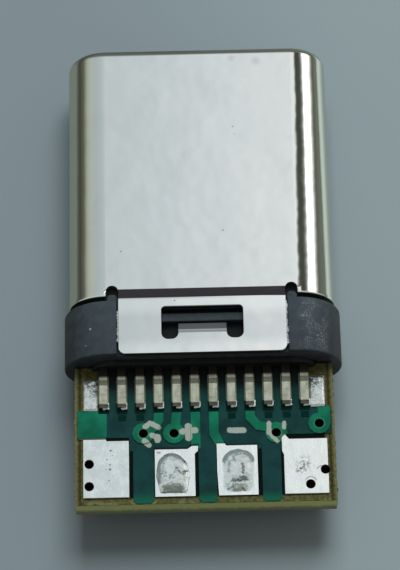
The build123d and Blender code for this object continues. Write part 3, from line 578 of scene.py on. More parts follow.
softened("moulded_collar", ["rear_collar"], plastic.material, 0.035, sharp=40)
inner_plastic = Finish("inner_moulding", IOR=1.5, Specular_IOR_Level=0.3)
inner_cloud = inner_plastic.grain(0.2, detail=4.0)
# painted shade: black plastic made darker still for the shade under the collar
inner_painted_shade = inner_plastic.blend(inner_cloud, (0.004, 0.005, 0.006), (0.012, 0.014, 0.016))
inner_plastic.set(Base_Color=inner_painted_shade)
inner_plastic.set(Roughness=0.45 + inner_cloud * 0.2)
softened("wafer_pair", ["upper_wafer", "lower_wafer"], inner_plastic.material, 0.012)
softened("mouth_insert", ["front_housing"], plastic.material, 0.015)

# %% [markdown]
# Each contact is a strip of bronze with a bright, slightly warm plating, and gold where it mates.
# The twelve tails are seen edge to edge, so their softened edges matter more than their colour. A
# tail has a painted shadow where it leaves the collar, painted shade near its root and at its two
# bends, and is bright between them.

# %% Contacts
strip = Finish("plated_strip", Specular_IOR_Level=0.1)
rub = strip.grain(0.16, detail=4.0, stretch=(1, 0.5, 1))
cross_line = strip.grain(0.05, detail=1.0, stretch=(0.1, 1, 0.3)).span(0.60, 0.72)
# painted shadow: the collar's shadow over the tails, near black and dull
collar_painted_shadow = strip.y.between(-3.545, -2.9, 0.045)
# painted shade: a dark band at the tails' upper bend
bend_painted_shade = strip.y.between(-3.795, -3.640, 0.012) * strip.z.span(1.9, 2.0)
# painted shade: the tails are darker towards the collar
root_painted_shade = strip.y.span(-3.74, -3.67) * (1 - strip.y.span(-0.8, -0.5))
clipped_foot = 1 - strip.y.span(-4.489, -4.485)
# painted shade: a dark band at the bend of each tail's foot
foot_painted_shade = strip.y.between(-4.482, -4.388, 0.010)
strip.set(Base_Color=strip.layered(
    strip.blend(rub.span(0.3, 0.7), (0.54, 0.54, 0.42), (0.80, 0.81, 0.67)),
    (strip.y.span(-0.5, 0.5), (0.93, 0.74, 0.42)),
    (cross_line * 0.28, (0.12, 0.11, 0.09)),
    (bend_painted_shade * 0.85, (0.12, 0.12, 0.080)),
    (root_painted_shade * 0.62, (0.13, 0.135, 0.095)),
    (clipped_foot * 0.6, (0.30, 0.30, 0.26)),
    (foot_painted_shade * 0.85, (0.035, 0.036, 0.028)),
    (collar_painted_shadow, (0.012, 0.012, 0.009)),
))
strip.set(Metallic=0.9 - collar_painted_shadow * 0.7)
strip.set(Roughness=0.20 + rub * 0.18 + collar_painted_shadow * 0.3)
strip.relief(rub + cross_line * 0.3, 0.006)
top_names = [f"contact_a{number}" for number in range(1, 13)]
bottom_names = [f"contact_b{number}" for number in range(1, 13)]
softened("contact_row_top", top_names, strip.material, 0.022)
softened("contact_row_bottom", bottom_names, strip.material, 0.022)

# %% [markdown]
# The latch plate and the screening springs lie in the mouth's shade. Both are stamped from bare
# spring steel, so one satin finish serves for the two of them.

# %% Latch plate and screening springs
latch_finish = Finish("latch_steel", Metallic=1.0, Base_Color=(0.62, 0.61, 0.58))
latch_finish.set(Roughness=0.25 + latch_finish.grain(0.2) * 0.2)
spring_names = ["screening_spring_top", "screening_spring_bottom"]
softened("latch_sheet", ["latch_plate"], latch_finish.material, 0.012)
softened("mouth_springs", spring_names, latch_finish.material, 0.008)

# %% [markdown]
# The board is glass cloth in resin. Its top shows only as a frame round the film, its sides were
# routed and show fibres, and its rear edge was snapped from a panel, which leaves it paler above.

# %% Board
def bare_box(node):
    """Lowest and highest corner of a CAD node in millimetres."""
    low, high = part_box(node)
    return low / MM, high / MM


board_low, board_high = bare_box("circuit_board")
print("board from", [round(v, 2) for v in board_low], "to", [round(v, 2) for v in board_high])
glass_resin = Finish("laminate", Specular_IOR_Level=0.12)
fibre = glass_resin.grain(0.12, detail=5.0, stretch=(1, 1, 6))
lump = glass_resin.grain(0.35, detail=2.0, stretch=(1, 1, 0.6), shift=(2, 0, 1)).span(0.48, 0.62)
wide = abs(glass_resin.x)
on_top = glass_resin.z.span(1.800, 1.812)
side_strip = wide.span(board_high.x - 0.10, board_high.x - 0.06)
outer = side_strip.larger(1 - glass_resin.y.span(board_low.y + 0.06, board_low.y + 0.10))
rear_lip = 1 - glass_resin.y.span(board_low.y + 0.06, board_low.y + 0.18)
rim = (rear_lip * lump * 0.7).larger(wide.span(board_high.x - 0.09, board_high.x - 0.03) * 0.6)
groove = wide.between(board_high.x - 0.19, board_high.x - 0.11, 0.02) * 0.8
among_pads = (1 - wide.span(3.60, 3.66)) * glass_resin.y.between(-7.36, -3.60, 0.04)
top_resin = glass_resin.layered(
    glass_resin.blend(fibre.span(0.35, 0.65), (0.047, 0.046, 0.018), (0.094, 0.090, 0.034)),
    (rim, (0.135, 0.145, 0.070)),
    (groove, (0.022, 0.019, 0.008)),
    (among_pads, (0.0015, 0.004, 0.003)),
)
snapped = 1 - glass_resin.y.span(board_low.y + 0.05, board_low.y + 0.09)
resin_edge = (glass_resin.z + fibre * 0.2 + lump * 0.06).span(1.30, 1.62)
sawn = glass_resin.layered(
    glass_resin.blend(fibre, (0.15, 0.175, 0.085), (0.30, 0.315, 0.16)),
    (lump * 0.35, (0.42, 0.43, 0.24)),
    (snapped, (0.19, 0.205, 0.125)),
    (snapped * resin_edge, (0.46, 0.50, 0.20)),
)
# painted shade: the walls of the board's holes are near black, and its outer walls show sawn glass cloth
walls_painted_hole_shade = glass_resin.blend(outer, (0.010, 0.010, 0.007), sawn)
glass_resin.set(Base_Color=glass_resin.blend(on_top, walls_painted_hole_shade, top_resin))
glass_resin.set(Roughness=0.6 + fibre * 0.25)
glass_resin.relief(fibre + lump, 0.02)
softened("board_laminate", ["circuit_board"], glass_resin.material, 0.015)

# %% [markdown]
# A green film covers most of the board. Where it lies over copper it stands a little higher and
# looks brighter, and the finish reads that height. The white print is thick ink pushed through a
# screen, so it has round ends and a ragged rim: pen strokes drawn in the shader do that well. Thin
# dark strokes along the pads are painted shadow where the film meets them, and the film between the
# tails is painted dark as shade.

# %% Green film with its print
film = Finish("solder_mask", Specular_IOR_Level=0.16)
over_copper = film.z.span(1.855, 1.872)
cloud = film.grain(0.5, detail=3.0)
sunk = film.blend(cloud.span(0.3, 0.7), (0.0035, 0.024, 0.0235), (0.0060, 0.040, 0.038))
finger_tip = 1 - film.y.span(-7.50, -7.15)
sunk = film.blend(finger_tip, sunk, (0.004, 0.080, 0.046))
raised = film.blend(cloud.span(0.3, 0.7), (0.0022, 0.080, 0.045), (0.0055, 0.132, 0.074))
# painted shade: the film between the tails is near black
between_tails_painted_shade = film.y.span(-4.08, -3.68) * film.x.between(-3.2, 3.2, 0.1)
ragged = (film.grain(0.06, detail=2.0) - 0.5) * 0.05
# painted shadow: thin dark lines along the pads' edges
pad_edge_painted_shadow = film.strokes((
    ((-1.54, -5.79), (-0.54, -5.80), 0.05), ((-0.54, -5.80), (-0.44, -5.715), 0.05),
    ((-0.44, -5.715), (-0.21, -5.695), 0.04), ((0.60, -5.67), (0.66, -5.715), 0.05),
    ((0.66, -5.715), (1.56, -5.72), 0.05), ((-2.96, -5.49), (-2.29, -5.51), 0.04),
), ragged * 0.2)
ink = film.strokes((
    ((-0.68, -5.28), (-0.29, -5.25), 0.20), ((-0.50, -5.11), (-0.49, -5.47), 0.22),
    ((0.76, -5.26), (1.17, -5.27), 0.18),
    ((-1.80, -5.10), (-1.66, -4.98), 0.17), ((-1.66, -4.98), (-1.41, -5.12), 0.17),
    ((-1.60, -5.38), (-1.42, -5.43), 0.17), ((-1.42, -5.43), (-1.43, -5.53), 0.19),
    ((-1.83, -5.55), (-1.70, -5.68), 0.17),
    ((1.95, -5.06), (1.94, -5.38), 0.15), ((1.94, -5.38), (2.18, -5.66), 0.13),
    ((2.41, -5.06), (2.40, -5.22), 0.13),
), ragged)
halo = 0
for x, y in ((-1.862, -5.335), (-0.912, -5.358), (2.173, -5.385), (3.476, -5.106)):
    halo = film.spot(x, y, 0.175, soft=0.12) * (1 - film.spot(x, y, 0.130, soft=0.12)) + halo
film.set(Base_Color=film.layered(
    film.blend(over_copper, sunk, raised),
    (between_tails_painted_shade * 0.85, (0.001, 0.004, 0.003)),
    (pad_edge_painted_shadow * 0.9, (0.0015, 0.006, 0.006)),
    (halo * 0.5, (0.05, 0.22, 0.13)),
    (ink, (0.27, 0.31, 0.275)),
))
film.set(Roughness=0.46 + cloud * 0.12 + ink * 0.2)
film.relief(film.grain(0.10, detail=3.0) + ink * 2, 0.004)
softened("mask_film_top", ["solder_mask_top"], film.material, 0.010)
softened("mask_film_bottom", ["solder_mask_bottom"], film.material, 0.008)

# %% [markdown]
# The foil is seen only where the film is open: as tarnished rings round the holes, and as stubs
# in front of the tails that are painted almost black as shade below the tails' ends. It stays the
# exact CAD mesh.

# %% Copper foil
foil = Finish("copper_foil", Specular_IOR_Level=0.05)
tarnish = foil.grain(0.2, detail=4.0)
# painted shade: the stubs below the tails' ends are almost black and not metal
stub_painted_shade = foil.y.between(-5.05, -4.30, 0.01)
ring = foil.blend(tarnish, (0.16, 0.20, 0.14), (0.36, 0.40, 0.30))
foil.set(Base_Color=foil.blend(stub_painted_shade, ring, (0.002, 0.016, 0.013)))
foil.set(Metallic=0.6 - stub_painted_shade * 0.6)
foil.set(Roughness=0.40 + tarnish * 0.3)
for name in ("copper_top", "copper_bottom"):
    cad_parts[name].data.materials.clear()
    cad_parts[name].data.materials.append(foil.material)

# %% [markdown]
# Solder is a liquid that froze. Its outline wets the pad, its edge curls over in a round shoulder,
# and its top is wrinkled where it cooled unevenly. A fluid simulation would be heavy and hard to
# steer, so each pool is a height field: rings of points shrink from the outline to the middle, and
# each point is lifted by its distance from the edge. A few dents and rises are listed one by one.

# %% Pools of solder
def even_outline(corners, count):
    """Points at even steps round a closed outline of corners."""
    corners = np.array(corners, float)
    ends = np.roll(corners, -1, axis=0)
    lengths = np.linalg.norm(ends - corners, axis=1)
    starts = np.concatenate([[0], np.cumsum(lengths)])
    points = []
    for place in np.arange(count) / count * starts[-1]:
        side = min(np.searchsorted(starts, place, side="right") - 1, len(corners) - 1)
        share = (place - starts[side]) / lengths[side]
        points.append(corners[side] + (ends[side] - corners[side]) * share)
    return np.array(points)


def rounded(points, passes):
    """The closed outline with its corners worn down."""
    for _ in range(passes):
        points = (np.roll(points, 1, axis=0) + 2 * points + np.roll(points, -1, axis=0)) / 4
    return points


def edge_distance(places, outline):
    """How far each place is from a closed outline."""
    starts, ends = outline, np.roll(outline, -1, axis=0)
    run = ends - starts
    share = ((places[:, None] - starts) * run).sum(2) / np.maximum((run * run).sum(1), 1e-12)
    nearest = starts + np.clip(share, 0, 1)[..., None] * run
    return np.linalg.norm(places[:, None] - nearest, axis=2).min(1)


def wrinkle(x, y, seed, size, ridges):
    """Frozen ripples: soft lumps with some sharp furrows."""
    place = Vector((x / size + seed * 7.3, y / size - seed * 3.1, seed))
    lumps = noise.fractal(place, 1.0, 2.0, 4)
    furrows = 1 - abs(noise.noise(place * 1.3)) * 3
    return lumps + ridges * max(furrows, 0)


def melted(heights, rings, count, passes=8):
    """The ring heights with their creases evened out, and the outline left where it is."""
    grid = heights[:-1].reshape(rings, count)
    for _ in range(passes):
        beside = (np.roll(grid, 2, axis=1) + np.roll(grid, -2, axis=1)) / 2
        inner = (grid[:-2] + grid[2:]) / 2
        grid[1:-1] = (grid[1:-1] + inner + beside[1:-1]) / 3
        grid[-1] = grid[-1].mean()
    return np.append(grid.ravel(), grid[-1, 0])


STEPS_ROUND = 160
RINGS = 40
CORNER_PASSES = 6
WOBBLE_SIZE = 0.25
LEAST_RISE = 0.004


def pool(
    name, corners, floor_z, crown, shoulder, ripple, ripple_size, seed,
    ridges=0.0, marks=(), wobble=0.02, flow=0.0,
):
    """A closed lump of solder over an outline given in millimetres.

    Flow is 0 for a lump with a round shoulder, and 1 for one that runs out thin at its edge.
    Each mark is a place, its reach across and along the plug, and a rise, all in millimetres.
    """
    count, rings = STEPS_ROUND, RINGS
    outline = rounded(even_outline(corners, count), CORNER_PASSES)
    middle = outline.mean(0)
    for index, (x, y) in enumerate(outline):
        pull = wobble * noise.noise(Vector((x / WOBBLE_SIZE, y / WOBBLE_SIZE, seed)))
        inward = middle - outline[index]
        outline[index] += inward / np.linalg.norm(inward) * abs(pull)
    shares = 1 - np.linspace(0, 1, rings, endpoint=False)
    ring_places = [middle + (outline - middle) * share for share in shares]
    places = np.concatenate([*ring_places, middle[None]])
    depth = np.clip(edge_distance(places, outline) / shoulder, 0, 1)
    round_edge = np.sqrt(np.clip(1 - (1 - depth) ** 2, 0, 1))
    round_edge += flow * (depth * depth * (3 - 2 * depth) - round_edge)
    dents = np.zeros(len(places))
    for x, y, wide, tall, rise in marks:
        away = ((places[:, 0] - x) / wide) ** 2 + ((places[:, 1] - y) / tall) ** 2
        dents += rise * np.exp(-away)
    swell = melted((crown + dents) * round_edge, rings, count)
    vertices = []
    for (x, y), rise, lift in zip(places, round_edge, swell):
        lift += ripple * rise * wrinkle(x, y, seed, ripple_size, ridges)
        vertices.append((x, y, floor_z + max(lift, LEAST_RISE * rise)))
    faces = []
    for ring in range(rings - 1):
        for step in range(count):
            after = (step + 1) % count
            a, b = ring * count + step, ring * count + after
            faces.append((a, b, b + count, a + count))
    last = (rings - 1) * count
    tip = rings * count
    faces += [(last + step, last + (step + 1) % count, tip) for step in range(count)]
    faces.append(tuple(reversed(range(count))))
    mesh = bpy.data.meshes.new(name)
    mesh.from_pydata([Vector(v) * MM for v in vertices], [], faces)
    mesh.shade_smooth()
    mesh.set_sharp_from_angle(angle=math.radians(60))
    return mesh


# %% [markdown]
# The pads were dipped in tin: smooth, bright, and faintly clouded. Handling has left its marks on
# them, and each is drawn where it lies: a row of burnt specks, flux beside the last tail, and
# scrapes that curl round two holes. Round the cap-shaped pool the third pad is painted a darker
# blue-grey as painted shade.

# %% Tin finish
tin = Finish("solder_metal")
blotch = tin.grain(0.30, detail=4.0)
speck = tin.spot(-2.852, -5.837, 0.035)
for x, y, radius in (
    (-2.962, -6.126, 0.022), (-2.873, -6.291, 0.028), (-2.874, -6.438, 0.036), (-2.906, -6.794, 0.022),
    (-2.80, -5.99, 0.018), (-2.99, -6.43, 0.018),
):
    speck = speck.larger(tin.spot(x, y, radius))
torn = tin.grain(0.09, detail=4.0).span(0.42, 0.62)
stain = tin.spot(2.98, -6.40, 0.20, soft=0.9) * torn + tin.spot(2.82, -6.60, 0.11, soft=0.9) * torn
for x, y in ((3.15, -6.98), (3.50, -6.64)):
    ring = tin.spot(x, y, 0.185, soft=0.07) * (1 - tin.spot(x, y, 0.150, soft=0.07))
    stain = stain + ring * tin.y.span(y + 0.02, y + 0.10) * 0.8
flux = tin.spot(3.33, -3.78, 0.13, soft=0.5) * tin.grain(0.08, detail=3.0).span(0.35, 0.55)
fresher = tin.x.span(-1.9, -1.7) * (0.85 - tin.x.span(2.0, 2.2) * 0.45)
# painted shade: a blue-grey patch on the third pad round the cap-shaped pool
pad3_painted_shade = tin.x.between(0.54, 1.43, 0.06) * tin.y.between(-7.14, -6.22, 0.10)
corner_mark = tin.stroke((-1.44, -5.93), (-1.37, -5.95), 0.06)
dirt = (corner_mark * 0.7 + speck * 0.85 + stain * 0.75 + flux).clamped()
on_board = tin.z.span(1.80, 1.84)
tin.set(Base_Color=tin.layered(
    tin.blend(blotch.span(0.35, 0.70), (0.82, 0.86, 0.85), (0.95, 0.98, 0.975)),
    (fresher, (0.97, 1.0, 0.985)),
    (pad3_painted_shade * 0.8, (0.50, 0.66, 0.67)),
    (dirt * on_board, (0.10, 0.095, 0.085)),
))
tin.set(Metallic=0.95 - dirt * on_board * 0.5)
tin.set(Roughness=0.09 + blotch * 0.09 + dirt * 0.3)
tin.relief(tin.grain(0.07, detail=3.0) * 0.4 + blotch, 0.005)

# %% Tinned pads
for number in (1, 4):
    pad = f"wire_pad_{number}"
    softened(f"tinned_face_{number}", [pad], tin.material, 0.014, segments=3)
for number in (2, 3):
    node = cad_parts[f"wire_pad_{number}"]
    node.data.materials.clear()
    node.data.materials.append(tin.material)

# %% [markdown]
# The two middle pads once held wires. The solder left on them froze in a moment, as a grey skin with
# white ridges and dark folds. Noise alone gives an even mottle, and the eye misses the few bold marks
# that make each pool its own. So the finish is painted like a miniature: a mottled ground, then pen
# strokes in layers, from broad grey rims to thin dark folds. Their edges wander with fine noise. Much
# of this is painted light: the white strokes are painted highlights, and the grey rims and the dark
# folds are painted shade.

# %% Finish of old solder
RIM_2 = (
    (-1.41, -6.90), (-1.42, -6.50), (-1.38, -6.28), (-1.26, -6.11), (-1.13, -6.04),
    (-1.00, -6.02), (-0.86, -6.05), (-0.72, -6.13), (-0.60, -6.25),
)
SIDE_2 = ((-0.60, -6.25), (-0.51, -6.50), (-0.47, -6.80), (-0.53, -7.16))
RIM_3 = (
    (0.54, -6.20), (0.60, -6.08), (0.69, -6.00), (0.83, -5.94), (0.99, -5.92),
    (1.15, -5.94), (1.28, -6.00), (1.38, -6.08), (1.44, -6.20),
)


def along_path(corners, width):
    """Pen strokes of one width through several corners."""
    return [(start, end, width) for start, end in zip(corners, corners[1:])]


old_tin = Finish("old_solder", Metallic=0.9)
mottle = old_tin.grain(0.13, detail=5.0, rough=0.65)
wander = (old_tin.grain(0.07, detail=4.0, rough=0.65) - 0.5) * 0.30
PAINTED_LIGHT_AND_MARKS = (
    # painted shade: grey rims round both pools and down the thumb's right side
    (0.90, (0.29, 0.36, 0.35), [*along_path(RIM_2, 0.13), *along_path(RIM_3, 0.20)]),
    (0.55, (0.34, 0.41, 0.38), along_path(SIDE_2, 0.07)),
    # darker bands along the lower ends of both pools
    (0.75, (0.20, 0.24, 0.205), [
        ((-1.22, -7.08), (-0.72, -7.10), 0.20), ((-1.25, -7.20), (-0.75, -7.19), 0.12),
        ((0.86, -7.21), (1.16, -7.18), 0.12),
    ]),
    (0.75, (0.33, 0.37, 0.30), [
        ((0.86, -7.08), (1.16, -7.08), 0.20), ((-1.15, -6.98), (-0.80, -7.00), 0.10),
    ]),
    # painted highlights: soft white patches
    (0.65, (0.93, 1.0, 1.0), [
        ((-1.12, -6.38), (-1.02, -6.60), 0.26), ((0.86, -6.40), (0.92, -6.62), 0.24),
        ((0.62, -6.55), (0.60, -6.85), 0.13), ((1.38, -6.55), (1.36, -6.90), 0.12),
    ]),
    # painted highlights: bright white spots
    (0.95, (0.96, 1.0, 1.0), [
        ((-0.72, -6.36), (-0.65, -6.46), 0.17), ((0.95, -6.13), (0.99, -6.20), 0.18),
        ((1.25, -6.38), (1.22, -6.56), 0.14), ((-1.15, -6.24), (-1.05, -6.25), 0.08),
    ]),
    (0.80, (0.74, 0.84, 0.76), [
        ((-0.56, -6.68), (-0.60, -6.82), 0.10), ((-1.33, -6.80), (-1.31, -6.90), 0.05),
        ((-0.64, -7.02), (-0.62, -7.12), 0.05), ((0.90, -7.10), (0.97, -7.09), 0.05),
        ((1.17, -7.08), (1.20, -7.16), 0.05),
    ]),
    # painted shade: dark folds and creases
    (0.90, (0.10, 0.13, 0.13), [
        ((-0.88, -6.42), (-0.80, -6.56), 0.035), ((-0.80, -6.56), (-0.76, -6.60), 0.05),
        ((-0.68, -6.60), (-0.58, -6.57), 0.06), ((-0.70, -6.62), (-0.67, -6.69), 0.04),
        ((-0.66, -6.19), (-0.60, -6.32), 0.05), ((1.11, -6.36), (1.13, -6.66), 0.06),
        ((0.84, -6.89), (1.22, -6.85), 0.11), ((1.06, -6.77), (1.25, -6.84), 0.08),
        ((0.55, -7.21), (0.80, -7.08), 0.030), ((1.10, -7.12), (1.13, -7.22), 0.035),
        ((-0.56, -7.15), (-0.53, -7.06), 0.04),
    ]),
    (0.75, (0.27, 0.35, 0.36), [
        ((-1.27, -6.32), (-1.29, -6.62), 0.035), ((-1.20, -6.56), (-1.24, -6.72), 0.035),
        ((-1.10, -6.78), (-1.02, -6.68), 0.050), ((-0.94, -6.60), (-0.88, -6.46), 0.030),
        ((0.72, -6.30), (0.69, -6.60), 0.045), ((0.86, -6.26), (0.84, -6.13), 0.050),
        ((0.84, -6.13), (0.93, -6.035), 0.045), ((0.93, -6.035), (1.05, -6.07), 0.040),
        ((-1.20, -6.17), (-1.02, -6.155), 0.030), ((-1.06, -6.74), (-0.97, -6.80), 0.04),
        ((0.72, -6.98), (0.86, -6.93), 0.05), ((-1.20, -6.72), (-1.12, -6.78), 0.03),
    ]),
)
painted_light_and_marks = [(old_tin.strokes(strokes, wander, soft=0.03) * share, tone) for share, tone, strokes in PAINTED_LIGHT_AND_MARKS]
torn_crust = old_tin.grain(0.12, detail=4.0, rough=0.65).span(0.42, 0.56)
left_slope = (old_tin.x + old_tin.y + 7.50).span(-0.20, 0.35) * (1 - old_tin.x.span(-3.2, -3.1))
right_slope = (old_tin.y - old_tin.x + 7.58).span(-0.05, 0.45) * old_tin.x.span(3.1, 3.2)
burnt_slopes = (left_slope + right_slope).clamped() * torn_crust * 0.9
old_tin.set(Base_Color=old_tin.layered(
    old_tin.blend(mottle.span(0.36, 0.56), (0.64, 0.74, 0.76), (0.97, 1.0, 1.0)),
    *painted_light_and_marks,
    (burnt_slopes, (0.10, 0.115, 0.105)),
))
old_tin.set(Roughness=0.26 + mottle * 0.18)
old_tin.relief(old_tin.grain(0.07, detail=4.0) + mottle, 0.010)

# %% [markdown]
# One pool is shaped like a thumb and the other like a mushroom's cap. The first still stands proud
# with a round shoulder, and the second ran out thin. Both start a hair below the pad, so that no
# gap shows, and stay inside the height of the CAD beads.

# %% Old solder on the middle pads
THUMB = (
    (-1.38, -7.25), (-0.56, -7.25), (-0.46, -6.75), (-0.47, -6.50), (-0.53, -6.29), (-0.62, -6.16),
    (-0.73, -6.06), (-0.86, -5.98), (-1.00, -5.945), (-1.14, -5.96), (-1.26, -6.02), (-1.37, -6.12),
    (-1.46, -6.28), (-1.50, -6.70),
)
CAP = (
    (0.60, -7.27), (1.36, -7.27), (1.44, -6.75), (1.51, -6.20), (1.44, -6.04), (1.32, -5.93),
    (1.16, -5.86), (0.99, -5.83), (0.82, -5.86), (0.66, -5.93), (0.54, -6.04), (0.47, -6.20),
    (0.52, -6.75),
)
THUMB_MARKS = (
    (-0.82, -6.52, 0.16, 0.05, -0.015), (-0.68, -6.39, 0.09, 0.09, 0.022),
    (-0.60, -6.74, 0.07, 0.12, 0.018), (-0.64, -6.60, 0.10, 0.04, -0.020),
    (-0.95, -6.95, 0.50, 0.05, -0.012),
)
CAP_MARKS = (
    (0.97, -6.16, 0.09, 0.09, 0.030), (0.60, -6.16, 0.10, 0.10, 0.020), (1.36, -6.17, 0.10, 0.10, 0.020),
    (0.90, -6.45, 0.20, 0.22, 0.018), (1.12, -6.50, 0.035, 0.16, -0.030), (1.24, -6.45, 0.06, 0.12, 0.020),
    (1.04, -6.86, 0.24, 0.06, -0.030), (0.90, -7.15, 0.06, 0.08, 0.022), (1.12, -7.16, 0.06, 0.08, 0.022),
)
FOOT_DEPTH = 0.002
for number, corners, marks, share, flow in (
    (2, THUMB, THUMB_MARKS, 0.34, 0.5), (3, CAP, CAP_MARKS, 0.16, 1.0),
):
    low, high = bare_box(f"solder_bead_{number}")
    height = high.z - low.z
    mesh = pool(
        f"old_solder_{number}", corners, floor_z=low.z - FOOT_DEPTH, crown=height * share, shoulder=0.28,
        ripple=height * 0.035, ripple_size=0.16, seed=number, marks=marks, wobble=0.04, flow=flow,
    )
    hand_in(link_piece(mesh.name, mesh, old_tin.material), [f"solder_bead_{number}"])

# %% [markdown]
# Beside the end tails the shell's ground is soldered to wide lands. That solder was dragged off with
# the iron: a flat heap over the whole land, with sharp furrows, and burnt on the side of the tails.

# %% Ground solder beside the end tails
for side, seed in (("left", 11), ("right", 17)):
    low, high = bare_box(f"ground_solder_{side}")
    height = high.z - low.z
    corners = [(low.x, low.y), (high.x, low.y), (high.x, high.y), (low.x, high.y)]
    mesh = pool(
        f"ground_heap_{side}", corners, floor_z=low.z - FOOT_DEPTH, crown=height * 0.50, shoulder=0.10,
        ripple=height * 0.13, ripple_size=0.30, seed=seed, ridges=0.5,
    )
    hand_in(link_piece(mesh.name, mesh, old_tin.material), [f"ground_solder_{side}"])

# %% [markdown]
# Some details repeat along a path: the solder that creeps round the foot of every tail, the ragged
# burr that the punch left on the tab's sides, and the torn glass fibres where the board was snapped
# from its panel. Each is a row of small lumps, so one Geometry Nodes recipe makes them all: it walks
# along the paths, puts a lump at every step, and pushes the surface about with noise. The recipe
# works in millimetres, and its result is scaled to metres once it is plain mesh.

# %% A recipe that strews lumps along paths
class Recipe(Nodes):
    """A Geometry Nodes tree with named inputs."""

    def __init__(self, name, sizes):
        tree = bpy.data.node_groups.new(name, "GeometryNodeTree")
        super().__init__(tree)
        kinds = {int: "NodeSocketInt", float: "NodeSocketFloat", tuple: "NodeSocketVector"}
        tree.interface.new_socket("Paths", in_out="INPUT", socket_type="NodeSocketGeometry")
        tree.interface.new_socket("Lumps", in_out="OUTPUT", socket_type="NodeSocketGeometry")
        for key, value in sizes.items():
            tree.interface.new_socket(key, in_out="INPUT", socket_type=kinds[type(value)])
        start = tree.nodes.new("NodeGroupInput")
        self.given = {key: Signal(self, start.outputs[key]) for key in ("Paths", *sizes)}
        self.sizes = sizes

    def finish(self, geometry, material):
        """Makes the result real mesh with its material, and gives it out."""
        real = self.make("GeometryNodeRealizeInstances", None, {0: geometry})
        dressed = self.make("GeometryNodeSetMaterial", None, {"Geometry": real, "Material": material})
        self.make("NodeGroupOutput", None, {"Lumps": dressed})

    def run(self, name, mesh):
        """The tree's result on a mesh, as an object with plain mesh."""
        piece = link_piece(name, mesh)
        modifier = piece.modifiers.new("recipe", "NODES")
        modifier.node_group = self.tree
        for item in self.tree.interface.items_tree:
            if item.in_out == "INPUT" and item.name in self.sizes:
                modifier[item.identifier] = self.sizes[item.name]
        return settled(piece)


TURN = (0.3, 0.3, 0.3)
NOISE_SCALE = 14.0


def lumps_along(name, paths, material, step, smallest, largest, push, seed, nodes=(), voxel=0.0):
    """A row of small lumps along paths given in millimetres, melted together if a voxel is given."""
    sizes = {"Step": step, "Smallest": smallest, "Largest": largest, "Push": push, "Seed": seed}
    recipe = Recipe(name + "_recipe", sizes)
    given = recipe.given
    curve = recipe.make("GeometryNodeMeshToCurve", None, {"Mesh": given["Paths"]})
    inputs = {"Curve": curve, "Length": given["Step"]}
    points = recipe.make("GeometryNodeCurveToPoints", {"mode": "LENGTH"}, inputs)
    vector = {"data_type": "FLOAT_VECTOR"}
    inputs = {0: given["Smallest"], 1: given["Largest"], 8: given["Seed"]}
    size = recipe.make("FunctionNodeRandomValue", vector, inputs)
    inputs = {0: tuple(-most for most in TURN), 1: TURN, 8: given["Seed"] + 7}
    turn = recipe.make("FunctionNodeRandomValue", vector, inputs)
    inputs = {"Radius": 1.0, "Subdivisions": 3 if voxel else 2}
    lump = recipe.make("GeometryNodeMeshIcoSphere", None, inputs)
    inputs = {"Points": points, "Instance": lump, "Scale": size, "Rotation": turn}
    strewn = recipe.make("GeometryNodeInstanceOnPoints", None, inputs)
    loose = recipe.make("GeometryNodeRealizeInstances", None, {0: strewn})
    inputs = {"Scale": NOISE_SCALE, "Detail": 2.0}
    noise_field = recipe.make("ShaderNodeTexNoise", None, inputs, output="Color")
    inputs = {0: noise_field, 1: (0.5, 0.5, 0.5)}
    centred = recipe.make("ShaderNodeVectorMath", {"operation": "SUBTRACT"}, inputs)
    inputs = {0: centred, "Scale": given["Push"]}
    offset = recipe.make("ShaderNodeVectorMath", {"operation": "SCALE"}, inputs)
    pushed = recipe.make("GeometryNodeSetPosition", None, {"Geometry": loose, "Offset": offset})
    recipe.finish(pushed, material)
    corners = [corner for path in paths for corner in path]
    links, first = [], 0
    for path in paths:
        links += [(first + index, first + index + 1) for index in range(len(path) - 1)]
        first += len(path)
    mesh = bpy.data.meshes.new(name)
    mesh.from_pydata(corners, links, [])
    piece = recipe.run(name, mesh)
    if voxel:
        melt = piece.modifiers.new("melt", "REMESH")
        melt.mode = "VOXEL"
        melt.voxel_size = voxel
        relax = piece.modifiers.new("relax", "SMOOTH")
        relax.iterations = 3
        settled(piece)
        piece.data.materials.clear()
        piece.data.materials.append(material)
    piece.data.transform(Matrix.Scale(MM, 4))
    piece.data.shade_smooth()
    hand_in(piece, nodes)


# %% [markdown]
# Solder crept out from under each tail, round its end and a little way up one flank. These rims are
# melted together with a voxel remesh, so they read as frozen liquid and not as a string of beads.

# %% Solder round the feet of the tails
def tail_sides(name):
    """The two sides and the end of a contact's tail, in millimetres."""
    places = [vertex.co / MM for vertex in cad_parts[name].data.vertices]
    end = min(place.y for place in places)
    tail = [place.x for place in places if place.y < end + 0.2]
    return min(tail), max(tail), end


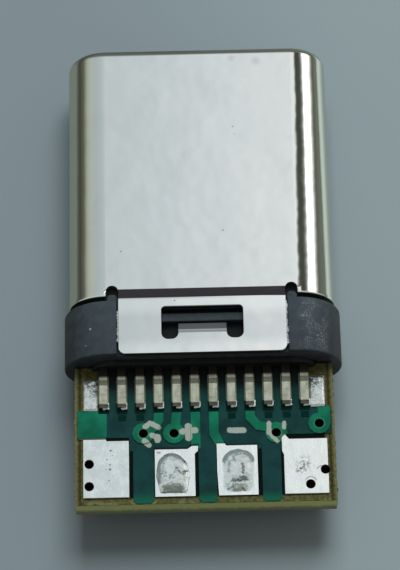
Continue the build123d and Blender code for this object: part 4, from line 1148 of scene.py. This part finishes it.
top_face = bare_box("copper_top")[1].z
bottom_face = bare_box("copper_bottom")[0].z
RIM_LIFT = 0.03
CREEP = 0.16
feet = []
for names, lift in ((top_names, top_face + RIM_LIFT), (bottom_names, bottom_face - RIM_LIFT)):
    for name in names:
        left, flank, end = tail_sides(name)
        feet.append([((left + flank) / 2, end - 0.01, lift), (flank, end, lift)])
        feet.append([(flank + 0.01, end, lift), (flank + 0.01, end + CREEP, lift)])
lumps_along(
    "tail_solder", feet, tin.material,
    step=0.04, smallest=(0.035, 0.035, 0.03), largest=(0.05, 0.055, 0.065), push=0.05, seed=5,
    nodes=["solder_joints_top", "solder_joints_bottom"], voxel=0.014,
)

# %% [markdown]
# A burr is a hair of metal along a sheared edge, and torn fibres are the same thing in glass cloth.
# Both lie just inside the box of the part, so that the plug is no larger than its drawing.

# %% Burr on the tab's sides and torn fibres round the board
tab_top = bare_box("shell")[1].z
burr_paths = [
    [(-2.565, -1.70, tab_top - 0.030), (-2.565, -2.64, tab_top - 0.030)],
    [(2.560, -1.45, tab_top - 0.032), (2.560, -2.82, tab_top - 0.032)],
]
lumps_along(
    "tab_burr", burr_paths, nickel.material,
    step=0.055, smallest=(0.025, 0.025, 0.008), largest=(0.070, 0.065, 0.020), push=0.040, seed=3,
)
low, high = board_low, board_high
SIDE_LEVELS = (1.66, 1.35)
REAR_LEVELS = (1.72, 1.45)
side_paths = [
    [(x, -3.3, level), (x, low.y + 0.16, level)] for x in (low.x, high.x) for level in SIDE_LEVELS
]
rear_paths = [
    [(low.x + 0.1, low.y + 0.06, level), (high.x - 0.1, low.y + 0.06, level)] for level in REAR_LEVELS
]
lumps_along(
    "torn_side_fibres", side_paths, glass_resin.material,
    step=0.13, smallest=(0.006, 0.06, 0.04), largest=(0.018, 0.14, 0.11), push=0.03, seed=8,
)
lumps_along(
    "torn_rear_fibres", rear_paths, glass_resin.material,
    step=0.13, smallest=(0.06, 0.006, 0.04), largest=(0.14, 0.018, 0.11), push=0.03, seed=9,
)
